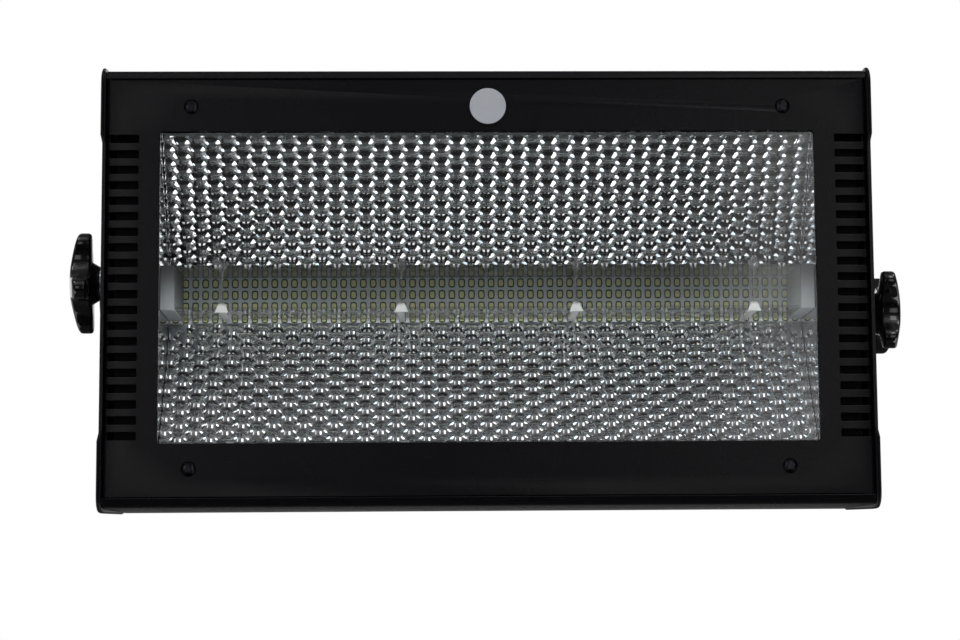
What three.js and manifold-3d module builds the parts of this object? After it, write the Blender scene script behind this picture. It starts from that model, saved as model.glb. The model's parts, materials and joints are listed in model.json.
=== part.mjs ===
// Strobe light for stages: a wide sheet-metal lamp body with a faceted mirror trough behind a clear
// window, a bar of white diodes under a clear cover, and a tilting yoke held by two lock knobs.
// Millimetres. +X is the lamp's right as seen from the front, the light leaves towards -Y, +Z is up.
// Depths are counted back from the front of the end cheeks, heights from the middle of the body.

import * as THREE from 'three';
import { mergeVertices } from 'three/addons/utils/BufferGeometryUtils.js';
import Module from 'manifold-3d';

const wasm = await Module();
wasm.setup();

// Body
const bodyWidth = 425;
const bodyHeight = 245;
const bodyDepth = 150;
const slopeStart = 105;
const rearHeight = 150;
const sheet = 1.5;
const clearance = 0.3;
const overrun = 5;

// End cheeks
const cheekThickness = 2.8;
const cheekProud = 2.5;
const cheekSlopeProud = 0.7;
const cheekLevel = 20;
const cheekCorner = 9;
const cheekSlopeCorner = 6;
const cheekRearCorner = 18;
const cheekRecess = 1.6;
const cheekRecessHeight = 154;
const cheekRamp = 7;

// Front lip of the shell, bezel and window
const lipSetback = 1;
const lipRadius = 5;
const bezelSetback = 0.8;
const bezelSeam = 0.5;
const bezelSideGap = 0.5;
const bezelBend = 2;
const bezelReturn = 14;
const windowSideBorder = 32.5;
const windowTopBorder = 37;
const windowCorner = 1.5;
const slotCount = 20;
const slotHeight = 4.4;
const slotEndRadius = 0.5;
const slotPitch = 8.58;
const slotMargin = 11.5;
const slotReturn = 7;
const glassThickness = 2.5;
const glassOverlap = 5;
const gasketWidth = 3.5;
const badgeRadius = 10;
const badgeThickness = 0.8;
const badgeAbove = 13.9;

// Countersunk screws of the bezel
const screwInset = 17;
const screwAbove = 13.8;
const screwHeadRadius = 3.65;
const screwRimDepth = 0.4;
const screwConeDepth = 1.6;
const screwRadius = 2;
const screwLength = 12;
const bossRadius = 4.6;

// Frame that carries the glass and the mirrors
const carrierOpeningGap = 2.5;
const carrierSideGap = 5.5;
const carrierFlange = 16;

// Mirror trough
const mirrorSheet = 1.2;
const mirrorDepth = 51;
const mirrorInnerHeight = 14.5;
const mirrorTurn = THREE.MathUtils.degToRad(10);
const mirrorFlange = 6.5;
const mirrorSteps = 10;

// Diode board, clear cover and its clips
const boardThickness = 1.6;
const boardHeight = 28.4;
const boardSetback = 0.7;
const coverWall = 1.6;
const coverFrontHeight = 24.6;
const coverRearHeight = 26;
const coverSetback = 1.9;
const endBlockLength = 7.7;
const clipPlaceShares = [-0.4056, -0.1333, 0.1333, 0.4056];
const clipRibWidth = 1.6;
const clipTabInnerWidth = 3.5;
const clipTabOuterWidth = 7.5;
const clipTabInnerHeight = 8.7;
const clipThickness = 1.2;
const clipLegWidth = 3.5;
const clipLegThickness = 0.7;

// Heat sink of the diode board
const sinkBase = 6;
const sinkDepth = 38;
const sinkHeight = 90;
const sinkFinCount = 9;
const sinkFinThickness = 2.4;
const sinkFinSetback = 15;

// Brackets that hold the heat sink and take the pivot's load
const bracketThickness = 2;
const bracketHeight = 80;
const bracketLap = 12;
const plateThickness = 3.2;
const plateFront = 45;
const plateLength = 65;
const plateHeight = 70;

// Yoke, pivots and lock knobs
const pivotDepth = 85;
const yokeSheet = 3;
const yokeReach = 155;
const yokeWidth = 42;
const yokeBend = 9;
const yokeGap = 3.3;
const earRadius = 34;
const clampHoleRadius = 6.5;
const tiltRange = THREE.MathUtils.degToRad(100);
const slotSpare = THREE.MathUtils.degToRad(2);
const studAhead = 22;
const studOffset = 9.2;
const studRadius = 4;
const studInside = 6;
const studHold = 11;
const frictionRadius = 17;
const pivotShoulderRadius = 6;
const pivotHeadRadius = 10.5;
const pivotHeadHeight = 4.5;
const pivotHeadRound = 2;
const washerThickness = 1.5;
const washerRadius = 10.5;
const hubArmRadius = 9.5;
const hubWheelRadius = 12.2;
const hubHeight = 4.7;
const lobeCount = 4;
const lobeRadius = 6.1;
const lobeReach = 22.7;
const knobCoreRadius = 13.5;
const knobThickness = 7.3;
const knobEdge = 1.4;
const knobDome = 5.2;
const knobDomeRadius = 13;
const knobSpins = { left: THREE.MathUtils.degToRad(14), right: THREE.MathUtils.degToRad(45) };

// Power supply and driver board
const supplyLength = 220;
const supplyDepth = 55;
const supplyHeight = 38;
const supplyCorner = 2;
const driverLength = 200;
const driverDepth = 58;
const electronicsFront = 46;
const standoffHeight = 6;
const standoffRadius = 3;
const chokeSize = 24;
const chokeHeight = 18;
const chokePlaceShares = [-0.35, 0, 0.35];

// Fans behind the rear wall
const fanSize = 80;
const fanDepth = 25;
const fanCorner = 5;
const fanBoreRadius = 38;
const fanHubRadius = 17;
const fanBladeRadius = 36.5;
const fanBladeThickness = 1.6;
const fanBladeChord = 24;
const fanBladeRoot = 2;
const fanBladeCount = 7;
const fanBladePitch = THREE.MathUtils.degToRad(50);
const fanPlate = 2;
const fanStrutWidth = 5;
const fanStrutCount = 4;
const fanRotorSetback = 1.3;
const guardRadius = 41;
const guardGap = 6;
const guardRing = 2;
const guardRingShares = [0.28, 0.52, 0.76];
const guardSpokeCount = 4;
const guardSpokeWidth = 3;
const guardThickness = 1.6;

// Rear panel and what it carries
const panelWidth = 190;
const panelMargin = 13;
const panelCorner = 4;
const panelLap = 7;
const controlInset = 29;
const connectorInset = 40;
const displayWidth = 58;
const displayHeight = 22;
const displayThickness = 1.2;
const displayLap = 2.5;
const displayModuleInset = 5;
const buttonRadius = 3;
const buttonProud = 3.4;
const buttonFlangeRadius = 4.3;
const buttonFlange = 1.2;
const buttonStem = 6;
const buttonTravel = 1;
const buttonSeatWidth = 9;
const switchSize = 6;
const switchHeight = 4;
const controlBoardHeight = 30;
const socketWidth = 26;
const socketHeight = 31;
const socketCorner = 3;
const socketFlange = 2.5;
const socketBarrelRadius = 11.7;
const socketBarrelDepth = 24;
const socketBoreRadius = 9.4;
const socketBoreDepth = 19;
const contactCount = 3;
const pinRadius = 1.2;
const pinLength = 15;
const pinCircle = 6.2;
const pinHoleRadius = 1.5;
const pinHoleDepth = 12;
const latchWidth = 7;
const latchHeight = 4.4;
const latchProud = 2.4;
const latchTravel = 1.2;
const latchRow = 12.2;
const inletWidth = 50;
const inletHeight = 27;
const inletCorner = 6;
const inletFlange = 2.5;
const inletBodyWidth = 28;
const inletBodyHeight = 20;
const inletBodyDepth = 26;
const inletCavityWidth = 24.6;
const inletCavityHeight = 16.6;
const inletCavityDepth = 18;
const inletCavityCorner = 4;
const bladeWidth = 2;
const bladeHeight = 4;
const bladeLength = 15;
const bladeSpread = 7;
const bladeRise = 3;
const fuseFlangeRadius = 8.5;
const fuseFlange = 2;
const fuseBodyRadius = 6.3;
const fuseBodyDepth = 30;
const fuseBoreRadius = 3.6;
const fuseCapRadius = 7;
const fuseCapHeight = 7;
const fuseCapEdge = 1;
const fuseStemLength = 14;
const fuseGripWidth = 2;
const eyeBaseWidth = 14;
const eyeBaseHeight = 46;
const eyeBase = 2.5;
const eyeRodRadius = 2.5;
const eyeReach = 20;
const eyeSpan = 29;

// Steps of the round shapes
const roundSides = 32;
const ringSides = 24;
const smallSides = 16;
const cornerSteps = 4;
const slotEndSteps = 2;
const bezelBendSteps = 3;
const lobeSteps = 8;
const valleySteps = 4;
const domeSteps = 3;
const knobEdgeSteps = 2;

// Places that follow from the sizes above
const halfWidth = bodyWidth / 2;
const halfHeight = bodyHeight / 2;
const cheekInside = halfWidth - cheekThickness;
const cheekFace = halfWidth - cheekRecess;
const shellHalfLength = cheekInside - clearance;
const shellHalfHeight = halfHeight - cheekProud;
const rearHalfHeight = rearHeight / 2;
const windowHalfWidth = halfWidth - windowSideBorder;
const windowHalfHeight = halfHeight - windowTopBorder;
const windowWidth = 2 * windowHalfWidth;
const windowHeight = 2 * windowHalfHeight;

const bezelFront = lipSetback + bezelSetback;
const bezelBack = bezelFront + sheet;
const bezelHalfHeight = shellHalfHeight - lipRadius - bezelSeam;
const bezelHalfWidth = cheekInside - bezelSideGap;
const glassFront = bezelBack + clearance;
const glassBack = glassFront + glassThickness;
const flangeFront = glassBack + clearance;
const flangeBack = flangeFront + mirrorSheet;
const carrierFront = flangeBack + clearance;
const carrierBack = carrierFront + sheet;
const carrierHalfHeight = shellHalfHeight - sheet - clearance;
const carrierHalfWidth = cheekInside - carrierSideGap;

const mirrorBack = flangeBack + mirrorDepth;
const boardFront = mirrorBack + boardSetback;
const boardBack = boardFront + boardThickness;
const coverFront = glassBack + coverSetback;
const coverBack = boardFront - clearance;
const sinkFront = boardBack + clearance;
const sinkBaseBack = sinkFront + sinkBase;
const sinkBack = sinkFront + sinkDepth;
const sinkHalfLength = windowHalfWidth + mirrorSheet;
const mirrorHalfLength = windowHalfWidth - clearance;
const coverHalfLength = mirrorHalfLength - endBlockLength - clearance;

const earInside = cheekFace + yokeGap;
const earOutside = earInside + yokeSheet;
const washerInside = earOutside + clearance;
const knobInside = washerInside + washerThickness + clearance;
const yokeBack = pivotDepth + yokeReach;
const studDepth = pivotDepth - studAhead;
const plateInside = shellHalfLength - plateThickness;
const studStart = plateInside - studInside;
const studEnd = knobInside + studHold;

const wallInside = bodyDepth - sheet;
const fanBack = wallInside - clearance;
const fanFront = fanBack - fanDepth;
const rotorFront = fanFront + fanPlate + clearance;
const rotorBack = fanBack - fanRotorSetback;
const panelHeight = rearHeight - 2 * panelMargin;
const controlRow = panelHeight / 2 - controlInset;
const connectorRow = connectorInset - panelHeight / 2;
const fanCentre = panelWidth / 2 + guardGap + guardRadius;
const panelInside = bodyDepth + clearance;
const panelFace = panelInside + sheet;
const seat = panelFace + clearance;
const boardSeat = panelInside - clearance;

const sideSigns = { left: -1, right: 1 };
const levelSigns = { upper: 1, lower: -1 };

// Shape helpers

function arc(centre, radius, from, to, steps) {
  const points = [];
  for (let step = 0; step <= steps; step += 1) {
    const angle = from + (to - from) * step / steps;
    points.push([centre[0] + radius * Math.cos(angle), centre[1] + radius * Math.sin(angle)]);
  }
  return points;
}

function circle(centre, radius, steps = roundSides) {
  return arc(centre, radius, 0, 2 * Math.PI, steps).slice(0, -1);
}

// A closed outline whose corners, given as [a, b, radius], are rounded.
function rounded(corners, steps = cornerSteps) {
  const points = [];
  corners.forEach(([a, b, radius = 0], index) => {
    if (radius === 0) {
      points.push([a, b]);
      return;
    }
    const before = corners[(index + corners.length - 1) % corners.length];
    const after = corners[(index + 1) % corners.length];
    const here = new THREE.Vector2(a, b);
    const toBefore = new THREE.Vector2(before[0] - a, before[1] - b).normalize();
    const toAfter = new THREE.Vector2(after[0] - a, after[1] - b).normalize();
    const half = Math.acos(toBefore.dot(toAfter)) / 2;
    const centre = toBefore.clone().add(toAfter).setLength(radius / Math.sin(half)).add(here);
    const first = toBefore.clone().multiplyScalar(radius / Math.tan(half)).add(here).sub(centre);
    const last = toAfter.clone().multiplyScalar(radius / Math.tan(half)).add(here).sub(centre);
    const turn = Math.atan2(first.cross(last), first.dot(last));
    points.push(...arc([centre.x, centre.y], radius, first.angle(), first.angle() + turn, steps));
  });
  return points;
}

function rectangle(centre, width, height, radius = 0) {
  const [a, b] = centre;
  const corner = (alongA, alongB) => [a + alongA * width / 2, b + alongB * height / 2, radius];
  return rounded([corner(-1, -1), corner(1, -1), corner(1, 1), corner(-1, 1)]);
}

// An open path moved sideways to the right of its direction, with mitred corners.
function moved(path, distance) {
  return path.map((point, index) => {
    const before = path[Math.max(index - 1, 0)];
    const after = path[Math.min(index + 1, path.length - 1)];
    const into = new THREE.Vector2(point[1] - before[1], before[0] - point[0]).normalize();
    const out = new THREE.Vector2(after[1] - point[1], point[0] - after[0]).normalize();
    const normals = [into, out].filter((normal) => normal.lengthSq() > 0);
    const mitre = normals[0].clone().add(normals[normals.length - 1]);
    const reach = 2 * distance / mitre.lengthSq();
    return [point[0] + mitre.x * reach, point[1] + mitre.y * reach];
  });
}

// The section of a sheet that is bent along a path.
function bentSheet(path, thickness) {
  return [...path, ...moved(path, thickness).reverse()];
}

function extruded(outline, depth) {
  const shape = new THREE.Shape(outline.map(([a, b]) => new THREE.Vector2(a, b)));
  return new THREE.ExtrudeGeometry(shape, { depth, bevelEnabled: false });
}

const xAxis = new THREE.Vector3(1, 0, 0);
const yAxis = new THREE.Vector3(0, 1, 0);
const zAxis = new THREE.Vector3(0, 0, 1);

// Prisms: an outline of [y, z] run along X, of [x, z] along Y, or of [x, y] along Z.
function alongX(outline, [from, to]) {
  const turn = new THREE.Matrix4().makeBasis(yAxis, zAxis, xAxis);
  return solid(extruded(outline, to - from).applyMatrix4(turn).translate(from, 0, 0));
}

function alongY(outline, [from, to]) {
  const turn = new THREE.Matrix4().makeBasis(xAxis, zAxis, yAxis.clone().negate());
  return solid(extruded(outline, to - from).applyMatrix4(turn).translate(0, to, 0));
}

function alongZ(outline, [from, to]) {
  return solid(extruded(outline, to - from).translate(0, 0, from));
}

function block([x0, x1], [y0, y1], [z0, z1]) {
  const box = new THREE.BoxGeometry(x1 - x0, y1 - y0, z1 - z0);
  return solid(box.translate((x0 + x1) / 2, (y0 + y1) / 2, (z0 + z1) / 2));
}

// A turned piece about its own Z axis, from [radius, height] points that start and end on the axis.
function turned(profile, steps = roundSides) {
  const points = profile.map(([radius, height]) => new THREE.Vector2(radius, height));
  return new THREE.LatheGeometry(points, steps).rotateX(Math.PI / 2);
}

// A range from near to far on one side of the middle.
function span(sign, near, far) {
  return sign > 0 ? [near, far] : [-far, -near];
}

// Solids: joins and cuts

function solid(geometry) {
  const bare = new THREE.BufferGeometry();
  bare.setAttribute('position', geometry.getAttribute('position'));
  bare.setIndex(geometry.index);
  const merged = mergeVertices(bare);
  const corners = merged.index.array;
  const triangles = [];
  for (let first = 0; first < corners.length; first += 3) {
    const [a, b, c] = [corners[first], corners[first + 1], corners[first + 2]];
    if (a !== b && b !== c && c !== a) {
      triangles.push(a, b, c);
    }
  }
  const vertProperties = merged.getAttribute('position').array;
  const triVerts = new Uint32Array(triangles);
  return new wasm.Manifold(new wasm.Mesh({ numProp: 3, vertProperties, triVerts }));
}

function join(first, ...others) {
  return others.reduce((whole, other) => whole.add(other), first);
}

function cut(first, ...tools) {
  return tools.reduce((whole, tool) => whole.subtract(tool), first);
}

function geometryOf(body) {
  const { vertProperties, triVerts } = body.getMesh();
  const geometry = new THREE.BufferGeometry();
  geometry.setAttribute('position', new THREE.BufferAttribute(vertProperties, 3));
  geometry.setIndex(new THREE.BufferAttribute(triVerts, 1));
  geometry.computeVertexNormals();
  return geometry;
}

// Finishes

function finish(color, roughness, metalness, opacity = 1) {
  const transparent = opacity < 1;
  return new THREE.MeshStandardMaterial({
    color, roughness, metalness, opacity, transparent, flatShading: true,
  });
}

const finishes = {
  blackPaint: () => finish(0x1b1c1e, 0.55, 0.1),
  blackPlastic: () => finish(0x151517, 0.4, 0),
  bakelite: () => finish(0x0c0c0d, 0.18, 0),
  clearGlass: () => finish(0xf2f7fa, 0.05, 0, 0.2),
  clearPlastic: () => finish(0xe8eef2, 0.12, 0, 0.35),
  frosted: () => finish(0xdfe3e6, 0.5, 0, 0.7),
  rubber: () => finish(0x1a1a1a, 0.85, 0),
  mirror: () => finish(0xe4e7ea, 0.12, 1),
  board: () => finish(0xd9dcd6, 0.6, 0),
  greenBoard: () => finish(0x2a5a3a, 0.6, 0),
  aluminium: () => finish(0xb9bcc0, 0.4, 1),
  zinc: () => finish(0xa9acb0, 0.35, 1),
  blackScrew: () => finish(0x121213, 0.35, 0.6),
  lightGrey: () => finish(0xa6a8b2, 0.5, 0),
  smoked: () => finish(0x20272c, 0.1, 0, 0.6),
};

const lamp = new THREE.Group();

function addPiece(name, body, finishName) {
  const mesh = new THREE.Mesh(geometryOf(body), finishes[finishName]());
  mesh.name = name;
  lamp.add(mesh);
}

// Housing shell: one sheet bent round the top, the slopes and the rear wall, with a rounded front lip

function shellPath() {
  const lipCentre = [lipSetback + lipRadius, shellHalfHeight - lipRadius];
  const upper = [
    ...arc(lipCentre, lipRadius, Math.PI, Math.PI / 2, cornerSteps),
    [slopeStart, shellHalfHeight],
    [bodyDepth, rearHalfHeight],
  ];
  const lower = upper.map(([y, z]) => [y, -z]).reverse();
  return [...upper, ...lower];
}

function housingShell() {
  const shell = alongX(bentSheet(shellPath(), sheet), [-shellHalfLength, shellHalfLength]);
  const wall = [wallInside - overrun, bodyDepth + overrun];
  const panelOpening = rectangle([0, 0], panelWidth - 2 * panelLap, panelHeight - 2 * panelLap);
  const fanOpenings = [-fanCentre, fanCentre].map((x) => alongY(circle([x, 0], fanBoreRadius), wall));
  return cut(shell, alongY(panelOpening, wall), ...fanOpenings);
}

// End cheek: a plate proud of the shell, with a shallow recess for the yoke's ear. It stands proud most
// at its front corners and at the back, and least where the shell's slope begins.

function endCheek(side) {
  const sign = sideSigns[side];
  const slopeHalfHeight = shellHalfHeight + cheekSlopeProud;
  const [, topRear] = moved([
    [slopeStart, shellHalfHeight],
    [bodyDepth, rearHalfHeight],
    [bodyDepth, 0],
  ], -cheekProud);
  const upper = [
    [0, halfHeight, cheekCorner],
    [cheekLevel, halfHeight],
    [slopeStart, slopeHalfHeight, cheekSlopeCorner],
    [...topRear, cheekRearCorner],
  ];
  const lower = upper.map(([y, z, radius]) => [y, -z, radius]).reverse();
  const outline = rounded([...upper, ...lower]);
  const recessHalf = cheekRecessHeight / 2;
  const section = [
    [cheekInside, -halfHeight],
    [halfWidth, -halfHeight],
    [halfWidth, -recessHalf - cheekRamp],
    [cheekFace, -recessHalf],
    [cheekFace, recessHalf],
    [halfWidth, recessHalf + cheekRamp],
    [halfWidth, halfHeight],
    [cheekInside, halfHeight],
  ].map(([x, z]) => [sign * x, z]);
  const plate = alongX(outline, span(sign, cheekInside, halfWidth));
  const through = span(sign, cheekInside - overrun, halfWidth + overrun);
  const recessed = plate.intersect(alongY(section, [-overrun, bodyDepth + overrun]));
  return cut(
    recessed,
    alongX(circle([pivotDepth, 0], studRadius + clearance, smallSides), through),
    alongX(circle([studDepth, studHeight(sign)], studRadius + clearance, smallSides), through),
  );
}

// The lock stud sits above the pivot's height on the left and as far below it on the right.
function studHeight(sign) {
  return -sign * studOffset;
}

// Front bezel: a shallow tray with the window opening, side slots that run round its bends

const screwPlaces = [[-1, 1], [1, 1], [-1, -1], [1, -1]].map(([alongWidth, alongHeight]) => [
  alongWidth * (windowHalfWidth - screwInset),
  alongHeight * (windowHalfHeight + screwAbove),
]);

// Screw with its head at the front. As a hole it is wider by a margin and starts ahead by a lead.
function screwProfile(length, margin = 0, lead = 0) {
  const coneBack = screwRimDepth + screwConeDepth;
  return [
    [0, -lead],
    [screwHeadRadius + margin, -lead],
    [screwHeadRadius + margin, screwRimDepth],
    [screwRadius + margin, coneBack],
    [screwRadius + margin, length],
    [0, length],
  ];
}

// Turned pieces laid along Y, with their start at a given depth.
function turnedAlongY(profile, [x, z], depth, steps = smallSides) {
  return solid(turned(profile, steps).rotateX(-Math.PI / 2).translate(x, depth, z));
}

function sideSlot(sign, z) {
  const inner = windowHalfWidth + slotMargin;
  const outline = rounded([
    [inner, z - slotHeight / 2, slotEndRadius],
    [halfWidth, z - slotHeight / 2],
    [halfWidth, z + slotHeight / 2],
    [inner, z + slotHeight / 2, slotEndRadius],
  ], slotEndSteps).map(([x, height]) => [sign * x, height]);
  return alongY(outline, [-overrun, bezelFront + slotReturn]);
}

function frontBezel() {
  const bendRight = [bezelHalfWidth - bezelBend, bezelFront + bezelBend];
  const bendLeft = [-bendRight[0], bendRight[1]];
  const path = [
    [bezelHalfWidth, bezelFront + bezelReturn],
    ...arc(bendRight, bezelBend, 0, -Math.PI / 2, bezelBendSteps),
    ...arc(bendLeft, bezelBend, -Math.PI / 2, -Math.PI, bezelBendSteps),
    [-bezelHalfWidth, bezelFront + bezelReturn],
  ];
  const tray = alongZ(bentSheet(path, sheet), [-bezelHalfHeight, bezelHalfHeight]);
  const opening = rectangle([0, 0], windowWidth, windowHeight, windowCorner);
  const slots = [];
  Object.values(sideSigns).forEach((sign) => {
    for (let row = 0; row < slotCount; row += 1) {
      slots.push(sideSlot(sign, (row - (slotCount - 1) / 2) * slotPitch));
    }
  });
  const holeProfile = screwProfile(screwLength, clearance, overrun);
  const holes = screwPlaces.map((place) => turnedAlongY(holeProfile, place, bezelFront));
  return cut(tray, alongY(opening, [-overrun, bezelBack + overrun]), ...slots, ...holes);
}

// Window glass, its gasket, and the frame that carries them together with the mirrors

const glassHalfWidth = windowHalfWidth + glassOverlap;
const glassHalfHeight = windowHalfHeight + glassOverlap;

function windowGlass() {
  const widths = [-glassHalfWidth, glassHalfWidth];
  return block(widths, [glassFront, glassBack], [-glassHalfHeight, glassHalfHeight]);
}

function windowGasket() {
  const innerWidth = 2 * (glassHalfWidth + clearance);
  const innerHeight = 2 * (glassHalfHeight + clearance);
  const grow = 2 * gasketWidth;
  const ring = alongY(rectangle([0, 0], innerWidth + grow, innerHeight + grow), [glassFront, glassBack]);
  const opening = rectangle([0, 0], innerWidth, innerHeight);
  return cut(ring, alongY(opening, [glassFront - overrun, glassBack + overrun]));
}

function windowCarrier() {
  const flangeEnd = carrierBack + carrierFlange;
  const path = [
    [flangeEnd, carrierHalfHeight],
    [carrierFront, carrierHalfHeight],
    [carrierFront, -carrierHalfHeight],
    [flangeEnd, -carrierHalfHeight],
  ];
  const channel = alongX(bentSheet(path, -sheet), [-carrierHalfWidth, carrierHalfWidth]);
  const grow = 2 * carrierOpeningGap;
  const opening = rectangle([0, 0], windowWidth + grow, windowHeight + grow);
  const bosses = screwPlaces.map((place) => (
    alongY(circle(place, bossRadius, smallSides), [glassFront, carrierBack])
  ));
  const holeProfile = screwProfile(screwLength + overrun, clearance, overrun);
  const holes = screwPlaces.map((place) => turnedAlongY(holeProfile, place, bezelFront));
  const pierced = cut(channel, alongY(opening, [carrierFront - overrun, carrierBack + overrun]));
  return cut(join(pierced, ...bosses), ...holes);
}

// Mirror trough: two curved sheets above and below the diode bar, and a flat wall at each end

const mirrorRise = windowHalfHeight - mirrorInnerHeight;
const mirrorSlope = Math.atan2(mirrorDepth, mirrorRise);
const mirrorRadius = Math.hypot(mirrorDepth, mirrorRise) / (2 * Math.sin(mirrorTurn / 2));
const mirrorSlopes = [mirrorSlope - mirrorTurn / 2, mirrorSlope + mirrorTurn / 2];
const mirrorCentre = [
  mirrorBack - mirrorRadius * Math.cos(mirrorSlopes[0]),
  mirrorInnerHeight - mirrorRadius * Math.sin(mirrorSlopes[0]),
];

// Points of [depth, height] from the diode bar out to the window, behind the mirror's face by an offset.
function mirrorCurve(offset) {
  return arc(mirrorCentre, mirrorRadius + offset, mirrorSlopes[0], mirrorSlopes[1], mirrorSteps);
}

function reflector(level) {
  const sign = levelSigns[level];
  const faceEdge = [flangeFront, windowHalfHeight];
  const hem = windowHalfHeight + mirrorFlange;
  const backCurve = mirrorCurve(mirrorSheet).filter(([y]) => y > flangeBack);
  const section = [
    ...mirrorCurve(0),
    faceEdge,
    [flangeFront, hem],
    [flangeBack, hem],
    [flangeBack, windowHalfHeight + mirrorSheet],
    ...backCurve.reverse(),
  ];
  return alongX(section.map(([y, z]) => [y, sign * z]), [-mirrorHalfLength, mirrorHalfLength]);
}

function reflectorEnd(side) {
  const sign = sideSigns[side];
  const curve = mirrorCurve(mirrorSheet).filter(([y]) => y > flangeFront);
  const upper = [...curve, [flangeFront, windowHalfHeight]];
  const lower = upper.map(([y, z]) => [y, -z]).reverse();
  const wall = alongX([...upper, ...lower], span(sign, windowHalfWidth, windowHalfWidth + mirrorSheet));
  const hem = block(
    span(sign, windowHalfWidth, windowHalfWidth + mirrorFlange),
    [flangeFront, flangeBack],
    [-windowHalfHeight, windowHalfHeight],
  );
  return join(wall, hem);
}

// Diode board, its clear cover with an opaque block at each end, and the clips over the cover

function diodeBoard() {
  const halfBoard = boardHeight / 2;
  return block([-mirrorHalfLength, mirrorHalfLength], [boardFront, boardBack], [-halfBoard, halfBoard]);
}

function coverOutline(inset) {
  const front = coverFrontHeight / 2 - inset;
  const rear = coverRearHeight / 2 - inset;
  const face = coverFront + inset;
  return [[coverBack, rear], [face, front], [face, -front], [coverBack, -rear]];
}

function diodeCover() {
  const outer = alongX(coverOutline(0), [-coverHalfLength, coverHalfLength]);
  const inner = coverOutline(coverWall).map(([y, z]) => [y === coverBack ? y + overrun : y, z]);
  return cut(outer, alongX(inner, [-coverHalfLength - overrun, coverHalfLength + overrun]));
}

function coverEndBlock(side) {
  const blockStart = mirrorHalfLength - endBlockLength;
  return alongX(coverOutline(0), span(sideSigns[side], blockStart, mirrorHalfLength));
}

function coverClip(x) {
  const clipBack = coverFront - clearance;
  const front = [clipBack - clipThickness, clipBack];
  const legInside = coverRearHeight / 2 + clearance;
  const legOutside = legInside + clipLegThickness;
  const tab = (sign) => alongY([
    [x - clipTabInnerWidth / 2, sign * clipTabInnerHeight],
    [x + clipTabInnerWidth / 2, sign * clipTabInnerHeight],
    [x + clipTabOuterWidth / 2, sign * legOutside],
    [x - clipTabOuterWidth / 2, sign * legOutside],
  ], front);
  const halfLeg = clipLegWidth / 2;
  const legs = (sign) => (
    block([x - halfLeg, x + halfLeg], [front[0], coverBack], span(sign, legInside, legOutside))
  );
  const halfRib = clipRibWidth / 2;
  const rib = block([x - halfRib, x + halfRib], front, [-legInside, legInside]);
  return join(rib, tab(1), tab(-1), legs(1), legs(-1));
}

// Heat sink: a base behind the diode board and fins that run the length of the lamp

function heatSink() {
  const halfSink = sinkHeight / 2;
  const base = block([-sinkHalfLength, sinkHalfLength], [sinkFront, sinkBaseBack], [-halfSink, halfSink]);
  const finHalfLength = sinkHalfLength - sinkFinSetback;
  const fins = [];
  for (let row = 0; row < sinkFinCount; row += 1) {
    const low = -halfSink + row * (sinkHeight - sinkFinThickness) / (sinkFinCount - 1);
    const depths = [sinkBaseBack - clearance, sinkBack];
    fins.push(block([-finHalfLength, finHalfLength], depths, [low, low + sinkFinThickness]));
  }
  return join(base, ...fins);
}

// Pivot bracket: an arm bolted behind the heat sink's base and a thick plate inside the cheek

function pivotBracket(side) {
  const sign = sideSigns[side];
  const armFront = sinkBaseBack + clearance;
  const armStart = sinkHalfLength - bracketLap;
  const halfArm = bracketHeight / 2;
  const arm = block(
    span(sign, armStart, shellHalfLength),
    [armFront, armFront + bracketThickness],
    [-halfArm, halfArm],
  );
  const plate = block(
    span(sign, plateInside, shellHalfLength),
    [plateFront, plateFront + plateLength],
    [-plateHeight / 2, plateHeight / 2],
  );
  const through = span(sign, plateInside - overrun, shellHalfLength + overrun);
  return cut(
    join(arm, plate),
    alongX(circle([pivotDepth, 0], studRadius + clearance, smallSides), through),
    alongX(circle([studDepth, studHeight(sign)], studRadius + clearance, smallSides), through),
  );
}

// Yoke: a bent strap with a round ear at each end. An arc slot in the ear runs over the lock stud.

function arcSlot(radius, width, from, to) {
  const half = width / 2;
  const end = (angle) => [radius * Math.cos(angle), radius * Math.sin(angle)];
  return [
    ...arc([0, 0], radius + half, from, to, roundSides / 2),
    ...arc(end(to), half, to, to + Math.PI, cornerSteps).slice(1, -1),
    ...arc([0, 0], radius - half, to, from, roundSides / 2),
    ...arc(end(from), half, from + Math.PI, from + 2 * Math.PI, cornerSteps).slice(1, -1),
  ].map(([y, z]) => [y + pivotDepth, z]);
}

function yoke() {
  const corner = [earOutside - yokeBend, yokeBack - yokeBend];
  const path = [
    [-earOutside, pivotDepth],
    ...arc([-corner[0], corner[1]], yokeBend, Math.PI, Math.PI / 2, cornerSteps),
    ...arc(corner, yokeBend, Math.PI / 2, 0, cornerSteps),
    [earOutside, pivotDepth],
  ];
  const strap = alongZ(bentSheet(path, yokeSheet), [-yokeWidth / 2, yokeWidth / 2]);
  const ears = [];
  const openings = [];
  Object.values(sideSigns).forEach((sign) => {
    const through = span(sign, earInside - overrun, earOutside + overrun);
    const radius = Math.hypot(studAhead, studOffset);
    const atRest = Math.atan2(studHeight(sign), -studAhead);
    const reach = tiltRange + slotSpare;
    const width = 2 * (studRadius + clearance);
    ears.push(alongX(circle([pivotDepth, 0], earRadius), span(sign, earInside, earOutside)));
    openings.push(alongX(arcSlot(radius, width, atRest - reach, atRest + reach), through));
    openings.push(alongX(circle([pivotDepth, 0], pivotShoulderRadius + clearance, smallSides), through));
  });
  const clampHole = alongY(circle([0, 0], clampHoleRadius), [yokeBack - overrun, yokeBack + overrun]);
  return cut(join(strap, ...ears), clampHole, ...openings);
}

// Pivot hardware: friction disc, shoulder bolt, lock stud, washer and lobed knob on each side

// A turned piece laid along X, pointing outwards, with its start at a distance from the middle.
function turnedOutwards(geometry, sign, start, [y, z]) {
  return solid(geometry.rotateY(sign * Math.PI / 2).translate(sign * start, y, z));
}

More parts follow.
